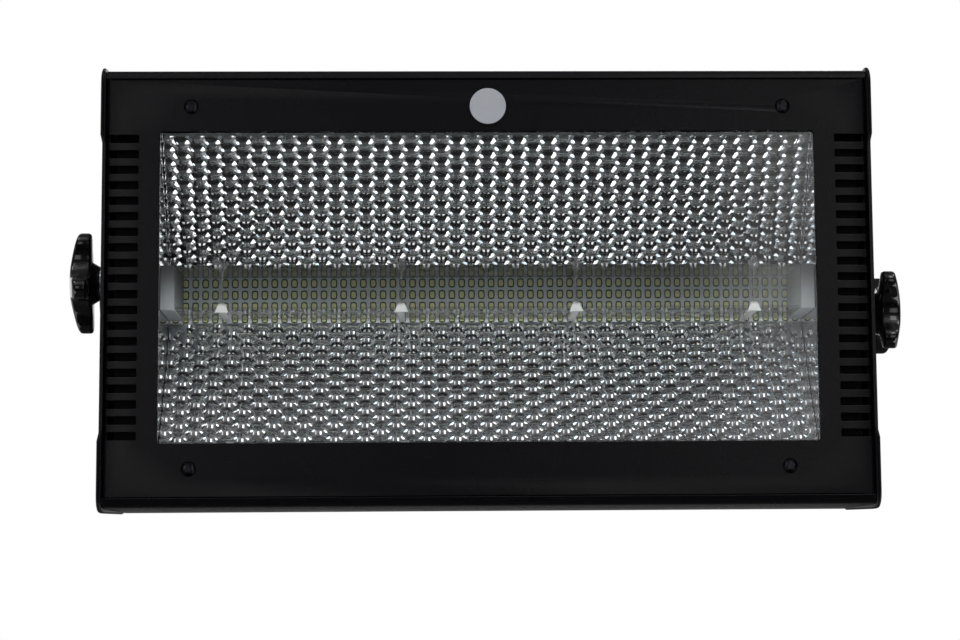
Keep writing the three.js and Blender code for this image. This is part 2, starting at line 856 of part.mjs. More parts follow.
function washer(inner, outer, thickness) {
  const profile = [[inner, 0], [outer, 0], [outer, thickness], [inner, thickness], [inner, 0]];
  return turned(profile, ringSides);
}

function pivotBolt(sign) {
  const length = washerInside - studStart;
  const shoulderStart = cheekFace + clearance - studStart;
  const profile = [
    [0, 0],
    [studRadius, 0],
    [studRadius, shoulderStart],
    [pivotShoulderRadius, shoulderStart],
    [pivotShoulderRadius, length],
    [pivotHeadRadius, length],
    [pivotHeadRadius, length + pivotHeadHeight - pivotHeadRound],
    [pivotHeadRadius - pivotHeadRound, length + pivotHeadHeight],
    [0, length + pivotHeadHeight],
  ];
  return turnedOutwards(turned(profile, smallSides), sign, studStart, [pivotDepth, 0]);
}

function lockStud(sign) {
  const length = studEnd - studStart;
  const profile = [[0, 0], [studRadius, 0], [studRadius, length], [0, length]];
  return turnedOutwards(turned(profile, smallSides), sign, studStart, [studDepth, studHeight(sign)]);
}

// Outline of the knob: round lobes joined by hollow valleys that touch the core's circle.
function knobOutline() {
  const halfPitch = Math.PI / lobeCount;
  const excess = lobeRadius - knobCoreRadius;
  const lobeAcross = lobeReach * Math.cos(halfPitch);
  const valleyDistance = (lobeReach ** 2 - excess ** 2) / (2 * (lobeAcross + excess));
  const valleyRadius = valleyDistance - knobCoreRadius;
  const valleyCorner = [valleyDistance * Math.cos(halfPitch), valleyDistance * Math.sin(halfPitch)];
  const lobeHalf = Math.atan2(valleyCorner[1], valleyCorner[0] - lobeReach);
  const points = [];
  for (let lobe = 0; lobe < lobeCount; lobe += 1) {
    const turn = lobe * 2 * halfPitch;
    const middle = turn + halfPitch;
    const lobeCentre = [lobeReach * Math.cos(turn), lobeReach * Math.sin(turn)];
    const valleyCentre = [valleyDistance * Math.cos(middle), valleyDistance * Math.sin(middle)];
    const from = turn + Math.PI + lobeHalf;
    const to = 2 * middle + Math.PI - turn - lobeHalf;
    points.push(...arc(lobeCentre, lobeRadius, turn - lobeHalf, turn + lobeHalf, lobeSteps));
    points.push(...arc(valleyCentre, valleyRadius, from, to, valleySteps).slice(1, -1));
  }
  return points;
}

function lockKnob(side) {
  const sign = sideSigns[side];
  const shape = new THREE.Shape(knobOutline().map(([a, b]) => new THREE.Vector2(a, b)));
  const wheel = new THREE.ExtrudeGeometry(shape, {
    depth: knobThickness - 2 * knobEdge,
    bevelSegments: knobEdgeSteps,
    bevelThickness: knobEdge,
    bevelSize: knobEdge,
    bevelOffset: -knobEdge,
  });
  const wheelSolid = solid(wheel.translate(0, 0, hubHeight + knobEdge));
  const top = hubHeight + knobThickness;
  const dome = [];
  for (let step = 0; step < domeSteps; step += 1) {
    const angle = step / domeSteps * Math.PI / 2;
    const rise = (knobDome + knobEdge) * Math.sin(angle);
    dome.push([knobDomeRadius * Math.cos(angle), top - knobEdge + rise]);
  }
  const hubEnd = [hubWheelRadius, hubHeight + knobEdge];
  const hub = turned([[0, 0], [hubArmRadius, 0], hubEnd, ...dome, [0, top + knobDome]]);
  const boreDepth = studHold + clearance;
  const boreRadius = studRadius + clearance;
  const boreProfile = [[0, -overrun], [boreRadius, -overrun], [boreRadius, boreDepth], [0, boreDepth]];
  const bore = turned(boreProfile, smallSides);
  const body = cut(join(wheelSolid, solid(hub)), solid(bore));
  const placed = geometryOf(body).rotateZ(sign * knobSpins[side]);
  return turnedOutwards(placed, sign, knobInside, [studDepth, studHeight(sign)]);
}

// Power supply under the top sheet, driver board above the bottom sheet

function powerSupply() {
  const top = shellHalfHeight - sheet - clearance;
  const centre = [electronicsFront + supplyDepth / 2, top - supplyHeight / 2];
  const outline = rectangle(centre, supplyDepth, supplyHeight, supplyCorner);
  return alongX(outline, [-supplyLength / 2, supplyLength / 2]);
}

function driverBoard() {
  const floor = -shellHalfHeight + sheet + clearance;
  const low = floor + standoffHeight;
  const top = low + boardThickness;
  const depths = [electronicsFront, electronicsFront + driverDepth];
  const board = block([-driverLength / 2, driverLength / 2], depths, [low, top]);
  const middle = (depths[0] + depths[1]) / 2;
  const inset = 2 * standoffRadius;
  const posts = [];
  [-1, 1].forEach((alongWidth) => {
    depths.forEach((depth) => {
      const place = [alongWidth * (driverLength / 2 - inset), depth + Math.sign(middle - depth) * inset];
      posts.push(alongZ(circle(place, standoffRadius, smallSides), [floor, top]));
    });
  });
  const chokes = chokePlaceShares.map((share) => {
    const x = share * driverLength;
    const half = chokeSize / 2;
    const heights = [top - clearance, top + chokeHeight];
    return block([x - half, x + half], [middle - half, middle + half], heights);
  });
  return join(board, ...posts, ...chokes);
}

// Fans: frame with a motor plate on struts, a rotor in it, and a finger guard outside the wall

function fanFrame(sign) {
  const x = sign * fanCentre;
  const frame = cut(
    alongY(rectangle([x, 0], fanSize, fanSize, fanCorner), [fanFront, fanBack]),
    alongY(circle([x, 0], fanBoreRadius), [fanFront - overrun, fanBack + overrun]),
  );
  const plate = [fanFront, fanFront + fanPlate];
  const motorPlate = alongY(circle([x, 0], fanHubRadius, roundSides), plate);
  const struts = [];
  for (let index = 0; index < fanStrutCount / 2; index += 1) {
    const turn = Math.PI / 4 + index * 2 * Math.PI / fanStrutCount;
    struts.push(alongY(bar([x, 0], 2 * fanBoreRadius + 2 * clearance, fanStrutWidth, turn), plate));
  }
  return join(frame, motorPlate, ...struts);
}

// A straight bar through a centre, turned by an angle.
function bar(centre, length, width, turn) {
  return rectangle([0, 0], length, width).map(([a, b]) => [
    centre[0] + a * Math.cos(turn) - b * Math.sin(turn),
    centre[1] + a * Math.sin(turn) + b * Math.cos(turn),
  ]);
}

function fanRotor(sign) {
  const x = sign * fanCentre;
  const hub = alongY(circle([x, 0], fanHubRadius), [rotorFront, rotorBack]);
  const length = fanBladeRadius - fanHubRadius + fanBladeRoot;
  const middleDepth = (rotorFront + rotorBack) / 2;
  const blades = [];
  for (let index = 0; index < fanBladeCount; index += 1) {
    const blade = new THREE.BoxGeometry(length, fanBladeThickness, fanBladeChord);
    blade.rotateX(fanBladePitch);
    blade.translate(fanBladeRadius - length / 2, 0, 0);
    blade.rotateX(Math.PI / 2);
    blade.rotateY(index * 2 * Math.PI / fanBladeCount);
    blades.push(solid(blade.translate(x, middleDepth, 0)));
  }
  return join(hub, ...blades);
}

function fanGuard(sign) {
  const x = sign * fanCentre;
  const depths = [panelInside, panelInside + guardThickness];
  const cutDepths = [panelInside - overrun, panelInside + guardThickness + overrun];
  const ring = (outer) => cut(
    alongY(circle([x, 0], outer, ringSides), depths),
    alongY(circle([x, 0], outer - guardRing, ringSides), cutDepths),
  );
  const rings = [guardRadius, ...guardRingShares.map((share) => share * guardRadius)].map(ring);
  const spokes = [];
  for (let index = 0; index < guardSpokeCount / 2; index += 1) {
    const turn = Math.PI / 4 + index * 2 * Math.PI / guardSpokeCount;
    spokes.push(alongY(bar([x, 0], 2 * guardRadius - guardRing, guardSpokeWidth, turn), depths));
  }
  return join(...rings, ...spokes);
}

// Rear panel: a plate over the rear wall's opening, with two rows of fittings

// Centres of fittings laid side by side across the panel with equal gaps.
function rowCentres(widths) {
  const gap = (panelWidth - widths.reduce((sum, width) => sum + width, 0)) / (widths.length + 1);
  let edge = -panelWidth / 2;
  return widths.map((width) => {
    const centre = edge + gap + width / 2;
    edge += gap + width;
    return centre;
  });
}

const buttonCount = 4;
const buttonSeats = Array(buttonCount).fill(buttonSeatWidth);
const [displayPlace, ...buttonPlaces] = rowCentres([displayWidth, ...buttonSeats]);
const [dmxInPlace, dmxOutPlace, inletPlace, fusePlace, eyePlace] = rowCentres([
  socketWidth, socketWidth, inletWidth, 2 * fuseFlangeRadius, eyeBaseWidth,
]);

function rearPanel() {
  const through = [panelInside - overrun, panelFace + overrun];
  const windowOpening = rectangle(
    [displayPlace, controlRow],
    displayWidth - 2 * displayLap,
    displayHeight - 2 * displayLap,
  );
  const inletOpening = rectangle(
    [inletPlace, connectorRow],
    inletBodyWidth + 2 * clearance,
    inletBodyHeight + 2 * clearance,
  );
  const hole = (x, z, radius) => alongY(circle([x, z], radius + clearance), through);
  return cut(
    alongY(rectangle([0, 0], panelWidth, panelHeight, panelCorner), [panelInside, panelFace]),
    alongY(windowOpening, through),
    alongY(inletOpening, through),
    ...buttonPlaces.map((x) => hole(x, controlRow, buttonRadius)),
    hole(dmxInPlace, connectorRow, socketBarrelRadius),
    hole(dmxOutPlace, connectorRow, socketBarrelRadius),
    hole(fusePlace, connectorRow, fuseBodyRadius),
  );
}

function displayCover() {
  const outline = rectangle([displayPlace, controlRow], displayWidth, displayHeight, displayLap / 2);
  return alongY(outline, [seat, seat + displayThickness]);
}

const buttonEnd = panelFace + buttonProud;
const flangeRear = panelInside - clearance;
const buttonStart = flangeRear - buttonFlange - buttonStem;
const switchTop = buttonStart - buttonTravel - clearance;
const controlBoardTop = switchTop - switchHeight;

function button(x) {
  const flangeDepths = [flangeRear - buttonFlange, flangeRear];
  return join(
    alongY(circle([x, controlRow], buttonRadius, smallSides), [buttonStart, buttonEnd]),
    alongY(circle([x, controlRow], buttonFlangeRadius, smallSides), flangeDepths),
  );
}

function controlBoard() {
  const left = displayPlace - displayWidth / 2 - 2 * standoffRadius;
  const right = buttonPlaces[buttonCount - 1] + buttonSeatWidth;
  const low = controlRow - controlBoardHeight / 2;
  const high = controlRow + controlBoardHeight / 2;
  const board = block([left, right], [controlBoardTop - boardThickness, controlBoardTop], [low, high]);
  const moduleWidth = displayWidth - 2 * displayModuleInset;
  const moduleHeight = displayHeight - 2 * displayModuleInset;
  const displayModule = alongY(
    rectangle([displayPlace, controlRow], moduleWidth, moduleHeight),
    [controlBoardTop - clearance, boardSeat],
  );
  const switches = buttonPlaces.map((x) => alongY(
    rectangle([x, controlRow], switchSize, switchSize),
    [controlBoardTop - clearance, switchTop],
  ));
  const posts = [];
  [left + standoffRadius, right - standoffRadius].forEach((x) => {
    [low + standoffRadius, high - standoffRadius].forEach((z) => {
      const post = circle([x, z], standoffRadius, smallSides);
      posts.push(alongY(post, [controlBoardTop - clearance, boardSeat]));
    });
  });
  return join(board, displayModule, ...switches, ...posts);
}

// Data sockets: a flange plate and a barrel. The inlet holds three pins, the outlet three holes.

function socketBody(x) {
  const flangeFace = seat + socketFlange;
  return join(
    alongY(rectangle([x, connectorRow], socketWidth, socketHeight, socketCorner), [seat, flangeFace]),
    alongY(circle([x, connectorRow], socketBarrelRadius), [flangeFace - socketBarrelDepth, flangeFace]),
  );
}

function contactPlaces(x) {
  const places = [];
  for (let index = 0; index < contactCount; index += 1) {
    const angle = Math.PI / 2 + index * 2 * Math.PI / contactCount;
    places.push([x - pinCircle * Math.cos(angle), connectorRow - pinCircle * Math.sin(angle)]);
  }
  return places;
}

function dmxIn() {
  const flangeFace = seat + socketFlange;
  const floor = flangeFace - socketBoreDepth;
  const bore = alongY(circle([dmxInPlace, connectorRow], socketBoreRadius), [floor, flangeFace + overrun]);
  const pins = contactPlaces(dmxInPlace).map((place) => (
    alongY(circle(place, pinRadius, smallSides / 2), [floor - clearance, floor + pinLength])
  ));
  return join(cut(socketBody(dmxInPlace), bore), ...pins);
}

function latchPocket(margin, depth) {
  const centre = [dmxOutPlace, connectorRow + latchRow];
  const outline = rectangle(centre, latchWidth + 2 * margin, latchHeight + 2 * margin);
  return (end) => alongY(outline, [seat + socketFlange - depth, end]);
}

function dmxOut() {
  const flangeFace = seat + socketFlange;
  const holes = contactPlaces(dmxOutPlace).map((place) => (
    alongY(circle(place, pinHoleRadius, smallSides / 2), [flangeFace - pinHoleDepth, flangeFace + overrun])
  ));
  const pocket = latchPocket(clearance, socketFlange)(flangeFace + overrun);
  return cut(socketBody(dmxOutPlace), ...holes, pocket);
}

function dmxLatch() {
  return latchPocket(0, socketFlange - latchTravel - clearance)(seat + socketFlange + latchProud);
}

// Mains inlet: a flange and a body with a cavity for the cord's connector and three blades in it

function cavityOutline() {
  const [right, top] = [inletCavityWidth / 2, inletCavityHeight / 2];
  return [
    [-right, -top],
    [right, -top],
    [right, top - inletCavityCorner],
    [right - inletCavityCorner, top],
    [-right + inletCavityCorner, top],
    [-right, top - inletCavityCorner],
  ].map(([x, z]) => [x + inletPlace, z + connectorRow]);
}

function mainsInlet() {
  const face = seat + inletFlange;
  const floor = face - inletCavityDepth;
  const flange = alongY(
    rectangle([inletPlace, connectorRow], inletWidth, inletHeight, inletCorner),
    [seat, face],
  );
  const body = alongY(
    rectangle([inletPlace, connectorRow], inletBodyWidth, inletBodyHeight),
    [face - inletBodyDepth, face],
  );
  const cavity = alongY(cavityOutline(), [floor, face + overrun]);
  const bladePlaces = [[-bladeSpread, 0], [bladeSpread, 0], [0, bladeRise]];
  const blades = bladePlaces.map(([x, z]) => alongY(
    rectangle([inletPlace + x, connectorRow + z], bladeWidth, bladeHeight),
    [floor - clearance, floor + bladeLength],
  ));
  return join(cut(join(flange, body), cavity), ...blades);
}

// Fuse holder and its cap

function fuseHolder() {
  const face = seat + fuseFlange;
  const back = face - fuseBodyDepth;
  return turnedAlongY([
    [0, 0],
    [fuseBodyRadius, 0],
    [fuseBodyRadius, seat - back],
    [fuseFlangeRadius, seat - back],
    [fuseFlangeRadius, face - back],
    [fuseBoreRadius, face - back],
    [fuseBoreRadius, face - back - fuseStemLength - clearance],
    [0, face - back - fuseStemLength - clearance],
  ], [fusePlace, connectorRow], back, ringSides);
}

function fuseCap() {
  const capStart = fuseStemLength + clearance;
  const end = capStart + fuseCapHeight;
  const start = seat + fuseFlange - fuseStemLength;
  const stemRadius = fuseBoreRadius - clearance;
  const cap = turnedAlongY([
    [0, 0],
    [stemRadius, 0],
    [stemRadius, capStart],
    [fuseCapRadius, capStart],
    [fuseCapRadius, end - fuseCapEdge],
    [fuseCapRadius - fuseCapEdge, end],
    [0, end],
  ], [fusePlace, connectorRow], start, ringSides);
  const groove = rectangle([fusePlace, connectorRow], 2 * fuseCapRadius + overrun, fuseGripWidth);
  return cut(cap, alongY(groove, [start + end - fuseCapEdge, start + end + overrun]));
}

// Safety eye: a bent rod on a base plate, for the safety wire

class EyePath extends THREE.Curve {
  getPoint(t) {
    const straight = eyeReach - eyeSpan / 2;
    const bend = Math.PI * eyeSpan / 2;
    const along = t * (2 * straight + bend);
    const half = eyeSpan / 2;
    const y0 = seat + eyeBase - clearance;
    if (along < straight) {
      return new THREE.Vector3(eyePlace, y0 + along, connectorRow - half);
    }
    if (along > straight + bend) {
      return new THREE.Vector3(eyePlace, y0 + 2 * straight + bend - along, connectorRow + half);
    }
    const angle = (along - straight) / half;
    return new THREE.Vector3(
      eyePlace,
      y0 + straight + half * Math.sin(angle),
      connectorRow - half * Math.cos(angle),
    );
  }
}

function safetyEye() {
  const base = alongY(
    rectangle([eyePlace, connectorRow], eyeBaseWidth, eyeBaseHeight, socketCorner),
    [seat, seat + eyeBase],
  );
  const rodOutline = circle([0, 0], eyeRodRadius, smallSides / 2);
  const section = new THREE.Shape(rodOutline.map(([a, b]) => new THREE.Vector2(a, b)));
  const rod = new THREE.ExtrudeGeometry(section, { steps: smallSides, extrudePath: new EyePath() });
  return join(base, solid(rod));
}

// Blank badge disc on the top of the bezel

function badgeDisc() {
  const back = bezelFront - clearance;
  return alongY(circle([0, windowHalfHeight + badgeAbove], badgeRadius), [back - badgeThickness, back]);
}

// Assembly

addPiece('housing_shell', housingShell(), 'blackPaint');
addPiece('front_bezel', frontBezel(), 'blackPaint');
addPiece('window_carrier', windowCarrier(), 'blackPaint');
addPiece('window_glass', windowGlass(), 'clearGlass');
addPiece('window_gasket', windowGasket(), 'rubber');
addPiece('badge_disc', badgeDisc(), 'lightGrey');
screwPlaces.forEach((place, index) => {
  const screw = turnedAlongY(screwProfile(screwLength), place, bezelFront);
  addPiece(`front_screw_${index + 1}`, screw, 'blackScrew');
});
Object.keys(levelSigns).forEach((level) => addPiece(`${level}_reflector`, reflector(level), 'mirror'));
addPiece('led_board', diodeBoard(), 'board');
addPiece('led_cover', diodeCover(), 'clearPlastic');
clipPlaceShares.forEach((share, index) => {
  addPiece(`cover_clip_${index + 1}`, coverClip(share * windowWidth), 'frosted');
});
addPiece('led_heatsink', heatSink(), 'aluminium');
addPiece('power_supply', powerSupply(), 'zinc');
addPiece('driver_board', driverBoard(), 'greenBoard');
addPiece('yoke', yoke(), 'blackPaint');
Object.entries(sideSigns).forEach(([side, sign]) => {
  const frictionThickness = yokeGap - 2 * clearance;
  const studPlace = [studDepth, studHeight(sign)];
  const friction = washer(pivotShoulderRadius + clearance, frictionRadius, frictionThickness);
  const knobWasher = washer(studRadius + clearance, washerRadius, washerThickness);
  addPiece(`${side}_end_cheek`, endCheek(side), 'blackPaint');
  addPiece(`${side}_reflector_end`, reflectorEnd(side), 'mirror');
  addPiece(`${side}_cover_block`, coverEndBlock(side), 'lightGrey');
  addPiece(`${side}_pivot_bracket`, pivotBracket(side), 'zinc');
  const frictionDisc = turnedOutwards(friction, sign, cheekFace + clearance, [pivotDepth, 0]);
  addPiece(`${side}_friction_disc`, frictionDisc, 'rubber');
  addPiece(`${side}_pivot_bolt`, pivotBolt(sign), 'blackScrew');
  addPiece(`${side}_lock_stud`, lockStud(sign), 'zinc');
  addPiece(`${side}_knob_washer`, turnedOutwards(knobWasher, sign, washerInside, studPlace), 'zinc');
  addPiece(`${side}_lock_knob`, lockKnob(side), 'bakelite');
  addPiece(`${side}_fan_frame`, fanFrame(sign), 'blackPlastic');
  addPiece(`${side}_fan_rotor`, fanRotor(sign), 'blackPlastic');
  addPiece(`${side}_fan_guard`, fanGuard(sign), 'blackPaint');
});
addPiece('rear_panel', rearPanel(), 'blackPaint');
addPiece('display_window', displayCover(), 'smoked');
addPiece('control_board', controlBoard(), 'greenBoard');
buttonPlaces.forEach((x, index) => addPiece(`menu_button_${index + 1}`, button(x), 'blackPlastic'));
addPiece('dmx_in', dmxIn(), 'zinc');
addPiece('dmx_out', dmxOut(), 'blackPlastic');
addPiece('dmx_out_latch', dmxLatch(), 'zinc');
addPiece('mains_inlet', mainsInlet(), 'blackPlastic');
addPiece('fuse_holder', fuseHolder(), 'blackPlastic');
addPiece('fuse_cap', fuseCap(), 'blackPlastic');
addPiece('safety_eye', safetyEye(), 'zinc');

lamp.position.set(0, -yokeBack / 2, halfHeight);

export default lamp;
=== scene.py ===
# %% [markdown]
# Strobe light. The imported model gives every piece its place; this file gives the pieces their looks.
# All lengths are in metres, +Z is up and the light leaves the lamp towards -Y.

# %% Load the fixed frame
import json
import math

import bmesh
import bpy
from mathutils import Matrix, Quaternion, Vector
from mathutils.bvhtree import BVHTree

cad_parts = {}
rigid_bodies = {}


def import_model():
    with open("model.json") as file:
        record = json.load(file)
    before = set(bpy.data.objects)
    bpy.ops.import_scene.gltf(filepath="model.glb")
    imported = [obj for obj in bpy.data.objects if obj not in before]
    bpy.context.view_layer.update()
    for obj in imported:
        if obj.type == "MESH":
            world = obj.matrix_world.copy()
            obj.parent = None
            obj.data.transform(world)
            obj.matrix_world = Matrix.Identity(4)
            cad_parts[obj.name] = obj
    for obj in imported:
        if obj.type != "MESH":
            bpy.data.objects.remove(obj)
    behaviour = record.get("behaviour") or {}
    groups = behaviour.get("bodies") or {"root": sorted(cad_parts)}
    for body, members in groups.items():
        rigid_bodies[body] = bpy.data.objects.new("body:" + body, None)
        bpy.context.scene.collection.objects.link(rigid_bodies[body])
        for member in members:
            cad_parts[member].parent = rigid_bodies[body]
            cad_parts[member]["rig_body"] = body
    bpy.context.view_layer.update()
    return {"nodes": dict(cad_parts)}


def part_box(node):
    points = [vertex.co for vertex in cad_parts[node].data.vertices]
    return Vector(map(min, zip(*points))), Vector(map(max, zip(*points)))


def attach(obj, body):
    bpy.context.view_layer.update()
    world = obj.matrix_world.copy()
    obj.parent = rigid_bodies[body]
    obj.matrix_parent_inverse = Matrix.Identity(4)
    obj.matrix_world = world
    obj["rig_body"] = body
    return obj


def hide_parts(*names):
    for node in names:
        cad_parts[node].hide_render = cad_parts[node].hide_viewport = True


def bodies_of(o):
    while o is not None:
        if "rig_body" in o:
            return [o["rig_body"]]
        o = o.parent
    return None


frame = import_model()
scene = bpy.context.scene
nodes = frame["nodes"]
MM = 0.001
SIDES = (("left", -1), ("right", 1))

# %% [markdown]
# The camera stands a little below the lamp's middle and a little to its left, so the lower edge of the
# face comes out wider than the upper one. The aim is the middle of the face. The lamp sits above the
# middle of the picture, and two small shifts of the lens put it there without turning the camera.

# %% Camera
IMAGE_WIDTH = 960
IMAGE_HEIGHT = 640
FACE_MIDDLE_PIXEL = (489.1, 284.8)
FOCAL_PIXELS = 2384
CAMERA_DISTANCE = 1.3
CAMERA_LEFT = 0.036
CAMERA_RISE = math.radians(7)
CAMERA_ROLL = math.radians(-0.4)


def object_of(name, data):
    """Puts a mesh, a camera or a light in the scene as an object."""
    made = bpy.data.objects.new(name, data)
    scene.collection.objects.link(made)
    return made


cheek_low, cheek_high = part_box("left_end_cheek")
face_middle = Vector((0, cheek_low.y, (cheek_low.z + cheek_high.z) / 2))
CHEEK_FRONT = face_middle.y
MIDDLE_HEIGHT = face_middle.z
camera_data = bpy.data.cameras.new("camera")
camera = object_of("camera", camera_data)
camera_level = math.cos(CAMERA_RISE) * CAMERA_DISTANCE
camera_drop = math.sin(CAMERA_RISE) * CAMERA_DISTANCE
back_off = Vector((-CAMERA_LEFT, -camera_level, -camera_drop))
camera.location = face_middle + back_off
aim = (-back_off).to_track_quat("-Z", "Y")
camera.rotation_euler = (aim @ Quaternion((0, 0, 1), CAMERA_ROLL)).to_euler()
camera_data.lens = camera_data.sensor_width * FOCAL_PIXELS / IMAGE_WIDTH
camera_data.shift_x = (IMAGE_WIDTH / 2 - FACE_MIDDLE_PIXEL[0]) / IMAGE_WIDTH
camera_data.shift_y = (FACE_MIDDLE_PIXEL[1] - IMAGE_HEIGHT / 2) / IMAGE_WIDTH
scene.camera = camera
print("camera at", [round(c, 3) for c in camera.location], "lens", round(camera_data.lens, 1))

# %% [markdown]
# Materials and Geometry Nodes trees are both made of nodes and links. One small class wraps an output
# socket: sums and products on it add Math nodes, so that a mask can be written as a formula, and its
# method adds any other node with its settings first and its inputs second.


# %% A class for nodes
class Link:
    """An output of a node. Sums and products of links and numbers add Math nodes."""

    def __init__(self, tree, socket=None):
        self.tree = tree
        self.socket = socket

    def node(self, kind, settings=None, inputs=None, output=0):
        """Adds a node: its settings first, then a value, a link or a list of links for each input."""
        made = self.tree.nodes.new(kind)
        for name, value in (settings or {}).items():
            if name == "stops":
                set_stops(made.color_ramp, value)
            else:
                setattr(made, name, value)
        feed(made, inputs or {})
        return Link(self.tree, made.outputs[output])

    def math(self, operation, *terms):
        return self.node("ShaderNodeMath", {"operation": operation}, dict(enumerate(terms)))

    def __add__(self, other):
        return self.math("ADD", self, other)

    def __radd__(self, other):
        return self.math("ADD", other, self)

    def __sub__(self, other):
        return self.math("SUBTRACT", self, other)

    def __rsub__(self, other):
        return self.math("SUBTRACT", other, self)

    def __mul__(self, other):
        return self.math("MULTIPLY", self, other)

    def __rmul__(self, other):
        return self.math("MULTIPLY", other, self)

    def __truediv__(self, other):
        return self.math("DIVIDE", self, other)

    def __rtruediv__(self, other):
        return self.math("DIVIDE", other, self)


def feed(node, inputs):
    """Sets or links the inputs of a node, by name or number. A colour gets its fourth number here."""
    for key, value in inputs.items():
        socket = node.inputs[key]
        for one in value if isinstance(value, list) else [value]:
            if isinstance(one, Link):
                node.id_data.links.new(one.socket, socket)
            else:
                socket.default_value = (*one, 1) if socket.type == "RGBA" else one


def set_stops(ramp, stops):
    """The two stops of a colour ramp, each a position and a grey."""
    for element, (position, grey) in zip(ramp.elements, stops):
        element.position = position
        element.color = (grey, grey, grey, 1)


print("class and feeder of nodes ready")

# %% [markdown]
# A few steps come back in nearly every tree, so each gets a short function: taking a vector apart and
# putting one together, mixing colours, and going softly from one number to another. Colours are given
# as they look on a screen, from 0 to 255, and are turned into the linear numbers that a shader takes.

# %% Steps that many trees share
MIX_FIRST, MIX_SECOND, MIX_RESULT = 6, 7, 2
CURVE_START = 10 / 255


def rgb(*levels):
    """The linear numbers of a colour. Very dark ones lie on the short straight start of the curve."""
    shares = [level / 255 for level in levels]
    return tuple(s / 12.92 if s <= CURVE_START else ((s + 0.055) / 1.055) ** 2.4 for s in shares)


def mix_colours(factor, first, second):
    """The mix of two colours or links. The Mix node has many sockets, so its colours go by number."""
    inputs = {0: factor, MIX_FIRST: first, MIX_SECOND: second}
    return factor.node("ShaderNodeMix", {"data_type": "RGBA"}, inputs, output=MIX_RESULT)


def axis(link, name):
    """One part of a vector: X, Y or Z."""
    return link.node("ShaderNodeSeparateXYZ", None, {0: link}, output=name)


def vector(x, y, z):
    """A vector from three numbers or links, at least one of them a link."""
    start = next(part for part in (x, y, z) if isinstance(part, Link))
    return start.node("ShaderNodeCombineXYZ", None, {"X": x, "Y": y, "Z": z})


def smooth_step(value, start, end, low=0.0, high=1.0):
    """Goes smoothly from low to high as the value goes from start to end."""
    steps = {"Value": value, "From Min": start, "From Max": end, "To Min": low, "To Max": high}
    return value.node("ShaderNodeMapRange", {"interpolation_type": "SMOOTHSTEP"}, steps)


def between(value, low, high, soft):
    """One between low and high, falling softly to zero outside."""
    return smooth_step(value, low - soft, low) * smooth_step(value, high + soft, high)


def towards(level, goal, share):
    """Goes from a level towards a goal by a share."""
    return level + share * (goal - level)


print("grey 128 is", [round(c, 3) for c in rgb(128, 128, 128)])

# %% [markdown]
# A material starts from its main shader and from Object coordinates, which stay with the piece when a
# joint moves it. Real surfaces are never even, so noise comes into every finish, and a bump from it
# breaks the highlights up.


# %% Steps that materials share
def bare_material(name):
    """A material, its main shader, and the place on the piece as a link to start its tree from."""
    material = bpy.data.materials.new(name)
    material.use_nodes = True
    place = Link(material.node_tree).node("ShaderNodeTexCoord", output="Object")
    return material, material.node_tree.nodes["Principled BSDF"], place


def noise(place, scale, detail):
    """Cloudy noise round one half, with so many clouds in a metre."""
    return place.node("ShaderNodeTexNoise", None, {"Vector": place, "Scale": scale, "Detail": detail})


def squeezed(place, scale):
    """The place with its three axes scaled, which squeezes a pattern along them."""
    return place.node("ShaderNodeMapping", None, {"Vector": place, "Scale": scale})


def bump(height, relief):
    """The normal of a relief so many metres deep."""
    return height.node("ShaderNodeBump", None, {"Distance": relief, "Height": height})


def output_of(shader, link):
    """The output of a ready shader as a link."""
    return Link(link.tree, shader.outputs[0])


def mixed_shaders(share, first, second):
    """The first shader, and the second one by a share, which is a number or a link."""
    return second.node("ShaderNodeMixShader", None, {0: share, 1: first, 2: second})


def close_surface(surface):
    """Links a shader to the material's output in place of the main one."""
    feed(surface.tree.nodes["Material Output"], {"Surface": surface})


print("steps for materials ready")

# %% [markdown]
# The floor is plain and pale. The camera looks up from just under its level, so the floor shows only
# its upper side: from below it is clear, by a mix with a clear shader that reads Backfacing.

# %% Floor
FLOOR_SIZE = 6
FLOOR_DROP = 0.0006
FLOOR_CLOUDS = 3


def pale_floor():
    material, shader, place = bare_material("pale_floor")
    cloud = noise(place, FLOOR_CLOUDS, 3)
    feed(shader, {"Base Color": mix_colours(cloud, rgb(226, 226, 228), rgb(236, 236, 236))})
    feed(shader, {"Roughness": 0.75, "Specular IOR Level": 0.2})
    from_below = place.node("ShaderNodeNewGeometry", output="Backfacing")
    clear = place.node("ShaderNodeBsdfTransparent")
    close_surface(mixed_shaders(from_below, output_of(shader, place), clear))
    return material


half = FLOOR_SIZE / 2
floor_corners = [(-half, -half), (half, -half), (half, half), (-half, half)]
floor_mesh = bpy.data.meshes.new("floor")
floor_mesh.from_pydata([(*corner, -FLOOR_DROP) for corner in floor_corners], [], [(0, 1, 2, 3)])
floor_mesh.materials.append(pale_floor())
floor = object_of("floor", floor_mesh)
floor.visible_glossy = False
print("floor", FLOOR_SIZE, "m wide")

# %% [markdown]
# The world is white where the camera sees it, like the paper behind an object in a catalogue. Metal and
# glass see a studio instead, because a mirror shows nothing but its surroundings: a dim room with bright
# sides, two light panels high in front, a dark place where the camera stands, and white paper behind.
# Matte faces get a little light from all round and more from a band high in front. Light Path's Is
# Camera, Is Glossy and Is Transmission Ray keep the three apart. The parts of a direction, across, depth
# and height, go from -1 to 1, and depth is negative in front of the lamp. Two numbers say where a change
# starts and ends; three give an area's lower edge, its upper edge and how softly both fade.

